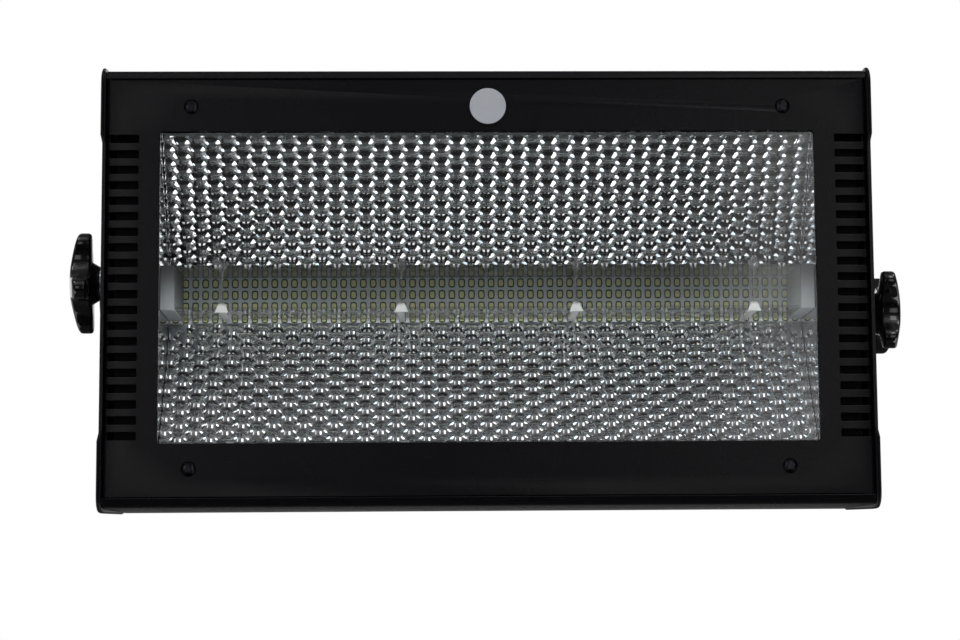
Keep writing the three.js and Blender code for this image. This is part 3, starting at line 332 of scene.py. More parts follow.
# %% World
DIFFUSE_LEVEL = 0.14
BAND_LEVEL = 22
BAND_HEIGHT = (0.82, 0.865, 0.012)
BAND_DEPTH = (-0.15, -0.3)
ROOM_LEVEL = 0.16
LOW_LEVEL = 0.07
LOW_HEIGHT = (0.2, -0.2)
HIGH_LEVEL = 0.13
HIGH_HEIGHT = (0.84, 0.92)
SIDE_LEVEL = 0.8
SIDE_REACH = (0.42, 0.6)
SIDE_HEIGHT = (-0.75, -0.15, 0.1)
PANEL_LEVEL = 3.0
RIGHT_PANEL = (0.16, 0.3, 0.03)
LEFT_PANEL = (-0.36, -0.28, 0.03)
LEFT_PANEL_SHARE = 0.4
PANEL_HEIGHT = (0.6, 0.8, 0.05)
PANEL_DEPTH = (-0.2, -0.35)
DARK_LEVEL = 0.015
FRONT_HEIGHT = (-0.5, 0.42, 0.12)
FRONT_DEPTH = (-0.55, -0.7)
ASIDE_LEVEL = 1.3
ASIDE_REACH = (0.17, 0.32, 0.07)
ASIDE_HEIGHT = (0.0, 0.26, 0.08)
PAPER_LEVEL = 1.0
PAPER_HEIGHT = (0.02, 0.35, 0.14)
PAPER_DEPTH = (0.5, 0.8)

world = bpy.data.worlds.new("studio")
world.use_nodes = True
scene.world = world
sky = Link(world.node_tree)
direction = sky.node("ShaderNodeTexCoord", output="Generated")
across, depth, height = (axis(direction, name) for name in "XYZ")
beside = across.math("ABSOLUTE", across)
room = towards(ROOM_LEVEL, LOW_LEVEL, smooth_step(height, *LOW_HEIGHT))
room = towards(room, HIGH_LEVEL, smooth_step(height, *HIGH_HEIGHT))
room = towards(room, SIDE_LEVEL, smooth_step(beside, *SIDE_REACH) * between(height, *SIDE_HEIGHT))
pair = between(across, *RIGHT_PANEL) + LEFT_PANEL_SHARE * between(across, *LEFT_PANEL)
panels = between(height, *PANEL_HEIGHT) * pair * smooth_step(depth, *PANEL_DEPTH)
room = towards(room, PANEL_LEVEL, panels)
aside = between(beside, *ASIDE_REACH) * between(height, *ASIDE_HEIGHT)
front = smooth_step(depth, *FRONT_DEPTH) * between(height, *FRONT_HEIGHT)
room = towards(room, towards(DARK_LEVEL, ASIDE_LEVEL, aside), front)
paper = smooth_step(depth, *PAPER_DEPTH) * between(height, *PAPER_HEIGHT)
room = towards(room, PAPER_LEVEL, paper)
band = between(height, *BAND_HEIGHT) * smooth_step(depth, *BAND_DEPTH)
rays = ("Camera", "Glossy", "Transmission")
seen, glossy, through = (sky.node("ShaderNodeLightPath", output=f"Is {name} Ray") for name in rays)
mirrored = glossy.math("MAXIMUM", glossy, through)
studio = towards(DIFFUSE_LEVEL + band * BAND_LEVEL, room, mirrored)
strength = towards(studio, PAPER_LEVEL, seen)
feed(world.node_tree.nodes["Background"], {"Color": (1, 1, 1), "Strength": strength})
print("world has", len(world.node_tree.nodes), "nodes")

# %% [markdown]
# Five soft boxes light the lamp. Area lights give soft shadows and wide highlights, as a photographer's
# boxes do. Two stand high in front, two low in front to bring out the face, and one stands behind for
# the rear. Those on the left are a little cooler, so that the two sides of an edge differ.

# %% Soft boxes
COOL = (0.82, 0.91, 1.0)
PLAIN = (1.0, 0.99, 0.97)
LIGHTS = (  # name, place, size, power in watts, tint
    ("left_box", (-0.95, -0.5, 1.3), (0.4, 0.4), 2.6, COOL),
    ("right_box", (1.0, -0.4, 1.4), (0.4, 0.4), 3.2, PLAIN),
    ("low_left_box", (-0.72, -0.66, -0.52), (0.34, 0.42), 1.3, COOL),
    ("low_right_box", (0.82, -0.7, -0.5), (0.5, 0.75), 3.6, PLAIN),
    ("rear_box", (0.5, 1.6, 1.1), (1.2, 0.8), 7, PLAIN),
)
for name, place, box_size, power, tint in LIGHTS:
    data = bpy.data.lights.new(name, "AREA")
    data.shape = "RECTANGLE"
    data.size, data.size_y = box_size
    data.energy = power
    data.color = tint
    box_light = object_of(name, data)
    box_light.location = place
    box_light.rotation_euler = (face_middle - box_light.location).to_track_quat("-Z", "Y").to_euler()
    box_light.visible_camera = False
scene.view_settings.view_transform = "Standard"
print("lights", len(LIGHTS))

# %% [markdown]
# Most of the lamp is painted or moulded. A painted sheet shows a fine pebbled skin, broad soft changes
# of gloss where hands and cloths have been, and a few small scuffs. One function makes all such
# finishes from a colour, a roughness and the size of the pebbles, with noise in Object coordinates.
# The grey blocks stand half in the shade of the mirrors, so that shade can also be painted into their
# colour, darker upwards.

# %% Painted and moulded finishes
SKIN_DRIFT = 14
SCUFF_STRETCH = (9, 9, 130)
SCUFF_SCALE = 6
SCUFF_STOPS = [(0.70, 0.0), (0.78, 1.0)]
SCUFF_DULLS = 0.3
WORN_GAIN = 1.8
WORN_LIFT = 0.012
COAT_ROUGHNESS = 0.06
SHADE_START = MIDDLE_HEIGHT - 14 * MM
SHADE_END = MIDDLE_HEIGHT + 12 * MM


def surface_finish(
    name,
    colour,
    second,
    rough,
    pebble=0.0012,
    relief=0.00006,
    smear=0.12,
    scuff=0.25,
    coat=0.0,
    gleam=0.22,
    shade=None,
):
    """Paint or moulding: pebbled relief, drifting colour and gloss, and sparse pale scuffs."""
    material, shader, place = bare_material(name)
    colour, second = rgb(*colour), rgb(*second)
    grain = noise(place, 1 / pebble, 2)
    drift = noise(place, SKIN_DRIFT, 4)
    scratch = noise(squeezed(place, SCUFF_STRETCH), SCUFF_SCALE, 5)
    marks = place.node("ShaderNodeValToRGB", {"stops": SCUFF_STOPS}, {"Fac": scratch})
    body = mix_colours(drift, colour, second)
    # Painted shade: the colour darkens upwards, standing in for the mirrors' shadow on the grey blocks.
    if shade is not None:
        shaded = smooth_step(axis(place, "Z"), SHADE_START, SHADE_END)
        body = mix_colours(shaded, body, tuple(part * shade for part in colour))
    worn = tuple(min(1, c * WORN_GAIN + WORN_LIFT) for c in colour)
    feed(shader, {"Base Color": mix_colours(marks * scuff, body, worn)})
    feed(shader, {"Roughness": rough + (drift - 0.5) * smear + marks * (scuff * SCUFF_DULLS)})
    feed(shader, {"Normal": bump(grain, relief)})
    feed(shader, {"Specular IOR Level": gleam, "Coat Weight": coat, "Coat Roughness": COAT_ROUGHNESS})
    return material


BAKELITE = {"pebble": 0.004, "relief": 0.00003, "smear": 0.05, "scuff": 0.1, "coat": 0.8}
MOULDED_GREY = {"pebble": 0.0007, "scuff": 0.1}
black_paint = surface_finish("black_paint", (8, 7, 10), (6, 5, 8), 0.27, gleam=0.2)
hidden_paint = surface_finish("hidden_paint", (6, 6, 7), (4, 4, 5), 0.7, gleam=0.06)
cheek_paint = surface_finish("cheek_paint", (18, 18, 21), (14, 14, 16), 0.36)
black_plastic = surface_finish("black_plastic", (24, 24, 26), (19, 19, 21), 0.45, pebble=0.0008)
bakelite = surface_finish("bakelite", (14, 13, 13), (10, 10, 10), 0.2, **BAKELITE)
rubber = surface_finish("rubber", (26, 26, 26), (20, 20, 20), 0.8, pebble=0.0005)
light_grey = surface_finish("light_grey", (163, 165, 171), (155, 157, 163), 0.42, **MOULDED_GREY)
end_block = surface_finish("end_block", (164, 168, 171), (156, 160, 163), 0.42, shade=0.14, **MOULDED_GREY)
print("painted and moulded finishes made")

# %% [markdown]
# Bare metals are made by one function too. The colour is the metal's own, all of it is metallic, and
# fine rolling lines run one way over it: a noise squeezed hard across the lines drives bump and gloss.

# %% Metals
TARNISH_DRIFT = 22
TARNISH_SHADE = 0.72
LINE_GLOSS = 0.08


def metal_finish(name, colour, rough, lines=(40, 900, 900), relief=0.00001, smear=0.14, tarnish=0.2):
    """Rolled, plated or cast metal: lines along one axis and a slow drift of tarnish."""
    material, shader, place = bare_material(name)
    colour = rgb(*colour)
    grain = noise(squeezed(place, lines), 1, 3)
    drift = noise(place, TARNISH_DRIFT, 4)
    dull = tuple(c * TARNISH_SHADE for c in colour)
    feed(shader, {"Base Color": mix_colours(drift * tarnish, colour, dull), "Metallic": 1})
    feed(shader, {"Roughness": rough + (drift - 0.5) * smear + (grain - 0.5) * LINE_GLOSS})
    feed(shader, {"Normal": bump(grain, relief)})
    return material


mirror_sheet = metal_finish("mirror_sheet", (229, 230, 232), 0.06, relief=0.000004, smear=0.05)
bare_aluminium = metal_finish("bare_aluminium", (186, 188, 192), 0.36)
zinc_steel = metal_finish("zinc_steel", (176, 178, 184), 0.3, lines=(300, 300, 300))
supply_case = metal_finish("supply_case", (196, 198, 200), 0.33, lines=(900, 900, 40))
black_screw = metal_finish("black_screw", (52, 52, 57), 0.24, lines=(700, 700, 700))
print("metals made")

# %% [markdown]
# Clear parts are thin, so light goes nearly straight through them. A clear shader mixed with a glossy
# one shows that: see-through when looked at squarely, bright at a glancing angle. The share of gloss is
# the fifth power of Layer Weight's Facing, which is the same on the way in and on the way out. The
# Fresnel node would treat the way out as the inside of solid glass, and shut the slanting light in.

# %% Clear parts
SMEAR_DRIFT = 12
SMEAR_GLOSS = 0.04
CLEAR_RELIEF = 0.00001
GLANCING_POWER = 5.0
FOOT_TOP = MIDDLE_HEIGHT - 8 * MM
FOOT_BOTTOM = MIDDLE_HEIGHT - 11 * MM


def clear_finish(name, tint, rough, mirror_share, veil=0.0, foot_veil=None):
    """Glass or clear plastic with faint smears. The veil is a share of haze, and may grow at the foot."""
    material, shader, place = bare_material(name)
    drift = noise(place, SMEAR_DRIFT, 4)
    relief = bump(drift, CLEAR_RELIEF)
    feed(shader, {"Base Color": tint, "Roughness": rough + (drift - 0.5) * SMEAR_GLOSS, "Normal": relief})
    through = place.node("ShaderNodeBsdfTransparent", None, {"Color": tint})
    gloss = place.node("ShaderNodeBsdfGlossy", None, {"Roughness": rough, "Normal": relief})
    facing = place.node("ShaderNodeLayerWeight", None, {"Normal": relief}, output="Facing")
    edge = mirror_share + (1 - mirror_share) * facing.math("POWER", facing, GLANCING_POWER)
    pane = mixed_shaders(edge, through, gloss)
    if foot_veil is not None:
        veil = smooth_step(axis(place, "Z"), FOOT_TOP, FOOT_BOTTOM, veil, foot_veil)
    close_surface(mixed_shaders(veil, pane, output_of(shader, place)))
    return material


window_glass = clear_finish("window_glass", (0.99, 0.994, 0.993), 0.02, 0.03)
clear_plastic = clear_finish("clear_plastic", (0.98, 0.99, 0.988), 0.1, 0.03, veil=0.004)
frosted = clear_finish("frosted_plastic", (0.95, 0.96, 0.95), 0.2, 0.05, veil=0.04, foot_veil=0.55)
SMOKED = {"pebble": 0.004, "relief": 0.00001, "coat": 0.6}
smoked_plastic = surface_finish("smoked_plastic", (16, 20, 24), (12, 15, 18), 0.12, **SMOKED)
print("clear finishes made")

# %% [markdown]
# The diode board is white solder mask over fibreglass, and the other boards are green. Green mask
# shows its copper tracks as slightly lighter lines: a brick pattern in a wide grid stands for them.

# %% Circuit boards
TRACKS_PER_METRE = 60
TRACK_WIDTH = 0.018
MASK_SHADE = 0.8
MASK_SHADE_SHARE = 0.3
MASK_GLOSS = 0.1
TRACK_RELIEF = 0.00003
BLACK, WHITE = (0, 0, 0), (1, 1, 1)


def board_finish(name, mask, track, rough):
    """Solder mask with tracks under it."""
    material, shader, place = bare_material(name)
    mask, track = rgb(*mask), rgb(*track)
    turned = place.node("ShaderNodeMapping", None, {"Vector": place, "Rotation": (math.pi / 2, 0, 0)})
    bricks = {"Vector": turned, "Scale": TRACKS_PER_METRE, "Mortar Size": TRACK_WIDTH}
    bricks |= {"Color1": BLACK, "Color2": BLACK, "Mortar": WHITE}
    lines = place.node("ShaderNodeTexBrick", None, bricks)
    drift = noise(place, TRACKS_PER_METRE, 3)
    body = mix_colours(lines, mask, track)
    shade = tuple(c * MASK_SHADE for c in mask)
    feed(shader, {"Base Color": mix_colours(drift * MASK_SHADE_SHARE, body, shade)})
    feed(shader, {"Roughness": rough + drift * MASK_GLOSS, "Normal": bump(lines, TRACK_RELIEF)})
    return material


white_board = board_finish("white_board", (236, 240, 241), (242, 245, 246), 0.3)
green_board = board_finish("green_board", (22, 74, 44), (38, 98, 60), 0.32)
print("board finishes made")

# %% [markdown]
# A piece of the frame is loose triangles with sharp edges. Real sheet, moulding and castings have small
# rounded edges that catch the light. So each piece is copied, its doubles are merged, its flat faces are
# joined again, and a narrow bevel rounds what is sharp. The copy then stands for the frame's piece.

# %% Helpers that finish a piece
CREASE = math.radians(34)
SAME_PLACE = 0.01 * MM
SAME_PLANE = math.radians(0.5)


def merged(name):
    """A copy of a piece of the frame with its doubles merged and its flat faces joined."""
    shape = bmesh.new()
    shape.from_mesh(nodes[name].data)
    bmesh.ops.remove_doubles(shape, verts=shape.verts, dist=SAME_PLACE)
    bmesh.ops.dissolve_limit(shape, angle_limit=SAME_PLANE, verts=shape.verts, edges=shape.edges)
    return shape


def from_shape(name, shape):
    """Turns mesh code's shape into an object."""
    mesh = bpy.data.meshes.new(name)
    shape.to_mesh(mesh)
    shape.free()
    return object_of(name, mesh)


def round_edges(made, radius):
    """A narrow bevel on the sharp edges, its radius in millimetres."""
    bevel = made.modifiers.new("rounded_edges", "BEVEL")
    bevel.width = radius * MM
    bevel.segments = 2
    bevel.limit_method = "ANGLE"
    bevel.angle_limit = CREASE
    bevel.harden_normals = True
    bevel.use_clamp_overlap = False


def body_of(name):
    """The body that a piece of the frame rides on."""
    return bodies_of(nodes[name])[0]


def settle(made, body, material, stands_for=(), crease=CREASE):
    """Gives a piece its material and smooth faces, its body, and the pieces it stands for."""
    made.data.materials.clear()
    made.data.materials.append(material)
    made.data.shade_smooth()
    made.data.set_sharp_from_angle(angle=crease)
    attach(made, body)
    if stands_for:
        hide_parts(*stands_for)


def dress_all(rows):
    """Finished copies of pieces. A row is (piece names, slot, material, edge radius in millimetres)."""
    for names, slot, material, radius in rows:
        for name in names.split():
            made = from_shape(f"{name}_finished", merged(name))
            round_edges(made, radius)
            settle(made, body_of(name), material, [name])
    print("finished", sum(len(row[0].split()) for row in rows), "pieces")


# %% [markdown]
# The lamp body is bent and powder-coated sheet: a shell, a front sheet with the window and the side
# slots, and two end cheeks that stand a little proud. The frame holds all bends already, so only the
# edges are rounded. The cheeks' paint is a shade lighter and duller than the sheet's, and the frame
# behind the window has a dead matte black that keeps it out of sight.

# %% Lamp body
dress_all(
    (
        ("housing_shell", "black_paint", black_paint, 0.3),
        ("front_bezel", "black_paint", black_paint, 0.3),
        ("left_end_cheek right_end_cheek", "black_paint", cheek_paint, 1.5),
        ("window_carrier", "black_paint", hidden_paint, 0.25),
        ("window_glass", "window_glass", window_glass, 0.3),
        ("window_gasket", "rubber", rubber, 0.2),
    )
)

# %% [markdown]
# Geometry Nodes grow what repeats. One helper makes an empty tree with named inputs, and another runs
# it: it sets the inputs by their identifiers, evaluates the object, and keeps the result as a plain
# mesh, so that no modifier is left on the piece.


# %% Helpers for Geometry Nodes
def geometry_tree(name, sizes):
    """A tree with a geometry input and named sizes. Returns a start link and a dict of its inputs."""
    tree = bpy.data.node_groups.new(name, "GeometryNodeTree")
    tree.interface.new_socket(name="Base", in_out="INPUT", socket_type="NodeSocketGeometry")
    tree.interface.new_socket(name="Result", in_out="OUTPUT", socket_type="NodeSocketGeometry")
    for size, value in sizes.items():
        kind = "NodeSocketInt" if isinstance(value, int) else "NodeSocketFloat"
        tree.interface.new_socket(name=size, in_out="INPUT", socket_type=kind).default_value = value
    entry = tree.nodes.new("NodeGroupInput")
    return Link(tree), {socket.name: Link(tree, socket) for socket in entry.outputs if socket.name}


def end_tree(shape, material):
    """Ends a tree: real geometry instead of instances, with its material."""
    real = shape.node("GeometryNodeRealizeInstances", None, {"Geometry": shape})
    painted = real.node("GeometryNodeSetMaterial", None, {"Geometry": real, "Material": material})
    feed(shape.tree.nodes.new("NodeGroupOutput"), {"Result": painted})
    print("tree", shape.tree.name, "has", len(shape.tree.nodes), "nodes")
    return shape.tree


def grown(name, tree, base=None, **sizes):
    """Runs a tree on a base mesh, with sizes given by name, and keeps a plain mesh."""
    maker = object_of(name, base or bpy.data.meshes.new(name))
    modifier = maker.modifiers.new("tree", "NODES")
    modifier.node_group = tree
    for socket in tree.interface.items_tree:
        if socket.in_out == "INPUT" and socket.name in sizes:
            modifier[socket.identifier] = sizes[socket.name]
    seen = maker.evaluated_get(bpy.context.evaluated_depsgraph_get())
    mesh = bpy.data.meshes.new_from_object(seen)
    bpy.data.objects.remove(maker)
    print(name, "has", len(mesh.polygons), "faces")
    return object_of(name, mesh)


def moved(shape, place):
    """Geometry with each of its points at a new place."""
    return shape.node("GeometryNodeSetPosition", None, {"Geometry": shape, "Position": place})


def lattice(start, size):
    """Loose points for the things of a lattice, with the row and the column of each."""
    points = start.node("GeometryNodePoints", None, {"Count": size["Columns"] * size["Rows"]})
    index = start.node("GeometryNodeInputIndex")
    row = index.math("FLOOR", index / size["Columns"])
    return points, row, index - row * size["Columns"]


def centred(number, count):
    """How many steps a thing stands from the middle of its row."""
    return number - (count - 1) * 0.5


# %% [markdown]
# The mirror trough is two sheets of pressed aluminium, one above and one below the diode bar. Each is
# covered with small hexagonal domes, which throw the light in all directions. A bump in the material
# can't show how domes hide and mirror one another, so they are geometry. In cross-section a sheet is an
# arc from the diode bar out to the window's frame. Its two ends are given as a depth behind the face
# and a height from the middle, and the arc's radius and centre follow from them and from its turn.

# %% Sizes of the mirrors
mirror_low, mirror_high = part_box("upper_reflector")
MIRROR_HALF_LENGTH = mirror_high.x
MIRROR_INNER = (58.6 * MM, 14.5 * MM)
MIRROR_OUTER = (7.6 * MM, 85.5 * MM)
MIRROR_TURN = math.radians(10)
MIRROR_MARGIN = 1.9 * MM
CELL_PITCH = 17.0 * MM
CELL_RISE = 2.0 * MM
CELL_PROUD = 0.3 * MM
ROW_PITCHES = {"upper": 4.45 * MM, "lower": 5.1 * MM}
mirror_chord = math.dist(MIRROR_INNER, MIRROR_OUTER)
mirror_radius = mirror_chord / (2 * math.sin(MIRROR_TURN / 2))
mirror_tilt = math.atan2(MIRROR_INNER[0] - MIRROR_OUTER[0], MIRROR_OUTER[1] - MIRROR_INNER[1])
mirror_start = mirror_tilt - MIRROR_TURN / 2
mirror_end = mirror_start + MIRROR_TURN
cells_end = mirror_end - MIRROR_MARGIN / mirror_radius
mirror_centre = (
    MIRROR_INNER[0] - mirror_radius * math.cos(mirror_start),
    MIRROR_INNER[1] - mirror_radius * math.sin(mirror_start),
)
print("mirror arc: radius", round(mirror_radius, 4), "length", round(mirror_radius * MIRROR_TURN, 4))

# %% [markdown]
# A cone with no height and no caps is a flat disc of rings. Pulling each of its points outwards by its
# angle makes the disc a hexagon. A dome's height falls with the square of the distance from its middle,
# so neighbours meet at the same height along their shared edges. The domes are laid out flat by row and
# column, every second row half a step aside, and the whole sheet is then bent on its arc.

# %% Tree of the mirror cells
CELL_DISC = {"Vertices": 12, "Side Segments": 4, "Radius Top": 0.0, "Radius Bottom": 1.0, "Depth": 0.0}
SIXTH = math.pi / 3

start, size = geometry_tree(
    "mirror_cells",
    {
        "Columns": 23,
        "Rows": 16,
        "Cell Pitch": CELL_PITCH,
        "Row Pitch": ROW_PITCHES["upper"],
        "Cell Rise": CELL_RISE,
        "Arc Radius": mirror_radius,
        "Arc Start": mirror_start,
        "Centre Depth": mirror_centre[0],
        "Centre Height": mirror_centre[1],
        "Side": 1.0,
    },
)
disc = start.node("GeometryNodeMeshCone", {"fill_type": "NONE"}, CELL_DISC)
spot = start.node("GeometryNodeInputPosition")
turn = axis(spot, "Y").math("ARCTAN2", axis(spot, "Y"), axis(spot, "X"))
sector = turn.math("FLOORED_MODULO", turn, SIXTH) - SIXTH / 2
pull = math.cos(SIXTH / 2) / sector.math("COSINE", sector)
aside, up = axis(spot, "X") * pull, axis(spot, "Y") * pull
dome = CELL_PROUD - size["Cell Rise"] * (aside * aside + up * up)
cell = moved(disc, vector(aside, up, dome))

points, row, column = lattice(start, size)
shift = row.math("FLOORED_MODULO", row, 2.0) * 0.5
along = (centred(column, size["Columns"]) + shift) * size["Cell Pitch"]
grid = moved(points, vector(along, row * size["Row Pitch"], 0.0))
stretch = vector(size["Cell Pitch"] / 3, size["Row Pitch"] / math.sin(SIXTH), 1.0)
spread = {"Points": grid, "Instance": cell, "Scale": stretch}
tiles = start.node("GeometryNodeInstanceOnPoints", None, spread)
flat = start.node("GeometryNodeRealizeInstances", None, {"Geometry": tiles})

angle = size["Arc Start"] + axis(spot, "Y") / size["Arc Radius"]
reach = size["Arc Radius"] - axis(spot, "Z")
back = size["Centre Depth"] + reach * angle.math("COSINE", angle) + CHEEK_FRONT
rise = (size["Centre Height"] + reach * angle.math("SINE", angle)) * size["Side"] + MIDDLE_HEIGHT
mirror_tree = end_tree(moved(flat, vector(axis(spot, "X"), back, rise)), mirror_sheet)

# %% [markdown]
# The grown sheet still has ragged ends. It is cut straight along four planes, and its outer edge goes on
# as a narrow flat strip and a hem that is held behind the window frame. Edges between domes stay sharp,
# and a wall thickness behind the face makes the sheet a closed body.

# %% Helpers for the mirror sheets
SPARE_ROWS = 2
SEAM = 0.02 * MM
ON_PLANE = 1e-6
ON_CUT = 1e-7
STRIP_STEP = 0.3 * MM
SHEET_WALL = 0.6 * MM
CELL_CREASE = math.radians(18)


def on_arc(x, reach, angle, side):
    """A point at a distance from the arc's centre, on the upper or the lower side."""
    back = mirror_centre[0] + reach * math.cos(angle) + CHEEK_FRONT
    return Vector((x, back, MIDDLE_HEIGHT + side * (mirror_centre[1] + reach * math.sin(angle))))


def cut_off(shape, place, normal):
    """Removes what lies on the normal's side of a plane."""
    everything = [*shape.verts, *shape.edges, *shape.faces]
    plane = {"plane_co": place, "plane_no": normal, "clear_outer": True}
    bmesh.ops.bisect_plane(shape, geom=everything, dist=ON_CUT, **plane)


def trimmed(shape, side):
    """Cuts a sheet to its arc and length, and gives the edges of its outer end."""
    axle = on_arc(0, 0, 0, side)
    for turn, way in ((mirror_start, -1), (cells_end, 1)):
        normal = Vector((0, -math.sin(turn) * way, math.cos(turn) * way * side))
        cut_off(shape, axle, normal)
    for way in (-1, 1):
        cut_off(shape, (way * MIRROR_HALF_LENGTH, 0, 0), (way, 0, 0))
    on_end = {vertex for vertex in shape.verts if abs((vertex.co - axle).dot(normal)) < ON_PLANE}
    return [edge for edge in shape.edges if on_end.issuperset(edge.verts)]


def add_hem(shape, rim, side):
    """Carries the outer end on as a flat strip and a hem."""
    flange = mirror_low.y
    hem = mirror_high.z - MIDDLE_HEIGHT
    steps = (
        lambda x: on_arc(x, mirror_radius, cells_end + STRIP_STEP / mirror_radius, side),
        lambda x: on_arc(x, mirror_radius, mirror_end, side),
        lambda x: Vector((x, flange, MIDDLE_HEIGHT + side * MIRROR_OUTER[1])),
        lambda x: Vector((x, flange, MIDDLE_HEIGHT + side * hem)),
    )
    for step in steps:
        added = bmesh.ops.extrude_edge_only(shape, edges=rim)["geom"]
        rim = [part for part in added if isinstance(part, bmesh.types.BMEdge)]
        for corner in {vertex for edge in rim for vertex in edge.verts}:
            corner.co = step(corner.co.x)


def face_forward(shape):
    """Turns the faces towards the window."""
    bmesh.ops.recalc_face_normals(shape, faces=shape.faces)
    shape.normal_update()
    if sum(face.normal.y * face.calc_area() for face in shape.faces) > 0:
        bmesh.ops.reverse_faces(shape, faces=shape.faces)


# %% Mirror sheets
def mirror_piece(level, side):
    pitch = ROW_PITCHES[level]
    rows = math.ceil(mirror_radius * MIRROR_TURN / pitch) + SPARE_ROWS
    made = grown(f"{level}_mirror", mirror_tree, **{"Rows": rows, "Row Pitch": pitch, "Side": side})
    shape = bmesh.new()
    shape.from_mesh(made.data)
    bmesh.ops.remove_doubles(shape, verts=shape.verts, dist=SEAM)
    add_hem(shape, trimmed(shape, side), side)
    face_forward(shape)
    shape.to_mesh(made.data)
    shape.free()
    wall = made.modifiers.new("wall", "SOLIDIFY")
    wall.thickness = SHEET_WALL
    wall.offset = -1
    settle(made, "lamp_body", mirror_sheet, [f"{level}_reflector"], CELL_CREASE)


mirror_piece("upper", 1.0)
mirror_piece("lower", -1.0)
dress_all((("left_reflector_end right_reflector_end", "mirror_sheet", mirror_sheet, 0.2),))

# %% [markdown]
# The light comes from a long board with four rows of white diodes. Each diode is a dark case with a
# yellow phosphor window, and short solder bars stand between the rows. Copies could be placed in a loop,
# but a tree repeats one block over the rows and columns, so the pitch is named only once. Cases, windows
# and bars are three runs of it, each with its own sizes and finish.

# %% Tree of the board's rows
diode_case = surface_finish("diode_case", (66, 94, 76), (54, 80, 62), 0.4, pebble=0.0006, scuff=0.05)
phosphor = surface_finish("phosphor", (246, 244, 190), (236, 234, 170), 0.3, pebble=0.0007, coat=0.5)
solder = surface_finish("solder", (232, 240, 240), (222, 231, 231), 0.35, pebble=0.0006, scuff=0.1)

start, size = geometry_tree(
    "board_rows",
    {
        "Columns": 64,
        "Rows": 4,
        "Column Pitch": 5.6 * MM,
        "Row Pitch": 6.65 * MM,
        "Width": 3.4 * MM,
        "Thickness": 0.2 * MM,
        "Height": 5.6 * MM,
        "Roundness": 1.0,
        "Front": 0.0,
        "Middle": 0.0,
    },
)
box = vector(size["Width"], size["Thickness"], size["Height"])
block = start.node("GeometryNodeMeshCube", None, {"Size": box})
crease = 1 - size["Roundness"]
smooth = {"Mesh": block, "Level": 1, "Edge Crease": crease, "Vertex Crease": crease}
rounded = start.node("GeometryNodeSubdivisionSurface", None, smooth)
points, row, column = lattice(start, size)
along = centred(column, size["Columns"]) * size["Column Pitch"]
level = centred(row, size["Rows"]) * size["Row Pitch"] + size["Middle"]
grid = moved(points, vector(along, size["Front"] - size["Thickness"] * 0.5, level))
placed = start.node("GeometryNodeInstanceOnPoints", None, {"Points": grid, "Instance": rounded})
board_tree = end_tree(placed, diode_case)

# %% Diode board
BOARD_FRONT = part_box("led_board")[0].y
BOARD_DROP = 1.6 * MM


def board_blocks(name, finish, width, height, thickness, roundness, **more):
    """Blocks on the board, their three sizes in millimetres."""
    block = {"Width": width * MM, "Height": height * MM, "Thickness": thickness * MM}
    lying = {"Front": BOARD_FRONT, "Middle": MIDDLE_HEIGHT - BOARD_DROP, "Roundness": roundness}
    settle(grown(name, board_tree, **block, **lying, **more), "lamp_body", finish)


dress_all((("led_board", "white_board", white_board, 0.15),))
board_blocks("diode_cases", diode_case, 4.0, 5.5, 0.18, 0.25)
board_blocks("diode_windows", phosphor, 2.8, 4.1, 0.27, 0.6)
board_blocks("solder_bars", solder, 3.6, 0.8, 0.1, 0.3, Rows=3)

# %% [markdown]
# A clear extruded cover keeps dust off the diodes. Grey blocks close its ends, and four frosted clips
# hold it: each has a tab above and below the cover, and a thin rib between them. The round badge at the
# top of the face is the same grey moulding. The clear cover and the window's pane cast next to no
# shadow, so theirs is switched off and the light reaches the diodes.

# %% Cover, end blocks, clips and badge
dress_all(
    (
        ("led_cover", "clear_plastic", clear_plastic, 0.3),
        ("left_cover_block right_cover_block", "light_grey", end_block, 0.3),
        ("cover_clip_1 cover_clip_2 cover_clip_3 cover_clip_4", "frosted_plastic", frosted, 0.2),
        ("badge_disc", "light_grey", light_grey, 0.25),
    )
)
for pane in ("window_glass", "led_cover"):
    bpy.data.objects[f"{pane}_finished"].visible_shadow = False

# %% [markdown]
# Small cross-head screws hold the sheets and what is mounted on them. Each is the same turned head with
# a cross-shaped recess, so one tree makes them all. The head is a cone of rings whose heights are
# changed into a low dome, and two blocks, cut out by a Boolean, leave the cross. The places come as
# loose points, and an attribute on each point says which way its screw faces. A seeded random turn
# about that axis keeps the crosses from standing in line, as on real work.

# %% Tree of the screws
BLANK = {"Vertices": 24, "Side Segments": 5, "Radius Top": 0.0, "Radius Bottom": 1.0, "Depth": 1.0}
DOME_POWER = 6.0
RECESS_SINK = 1.5
RANDOM_MIN, RANDOM_MAX, RANDOM_RESULT = 2, 3, 1

start, size = geometry_tree(
    "cross_head_screws",
    {
        "Head Radius": 3.65 * MM,
        "Head Height": 1.2 * MM,
        "Recess Length": 4.8 * MM,
        "Recess Width": 1.2 * MM,
        "Seed": 3,
    },
)
places = size["Base"]
blank = start.node("GeometryNodeMeshCone", {"fill_type": "NGON"}, BLANK)
spot = start.node("GeometryNodeInputPosition")
from_axis = 1 - axis(spot, "Z")
dome = from_axis.math("SQRT", 1 - from_axis.math("POWER", from_axis, DOME_POWER))
aside, up = axis(spot, "X") * size["Head Radius"], axis(spot, "Y") * size["Head Radius"]
head = moved(blank, vector(aside, up, dome * size["Head Height"]))
blades = []
for long, wide in (("Recess Length", "Recess Width"), ("Recess Width", "Recess Length")):
    block = vector(size[long], size[wide], size["Head Height"] * RECESS_SINK)
    blade = start.node("GeometryNodeMeshCube", None, {"Size": block})
    lift = {"Geometry": blade, "Translation": vector(0.0, 0.0, size["Head Height"])}
    blades.append(start.node("GeometryNodeTransform", None, lift))
boolean = {"operation": "DIFFERENCE", "solver": "EXACT"}
head = start.node("GeometryNodeMeshBoolean", boolean, {"Mesh 1": head, "Mesh 2": blades})
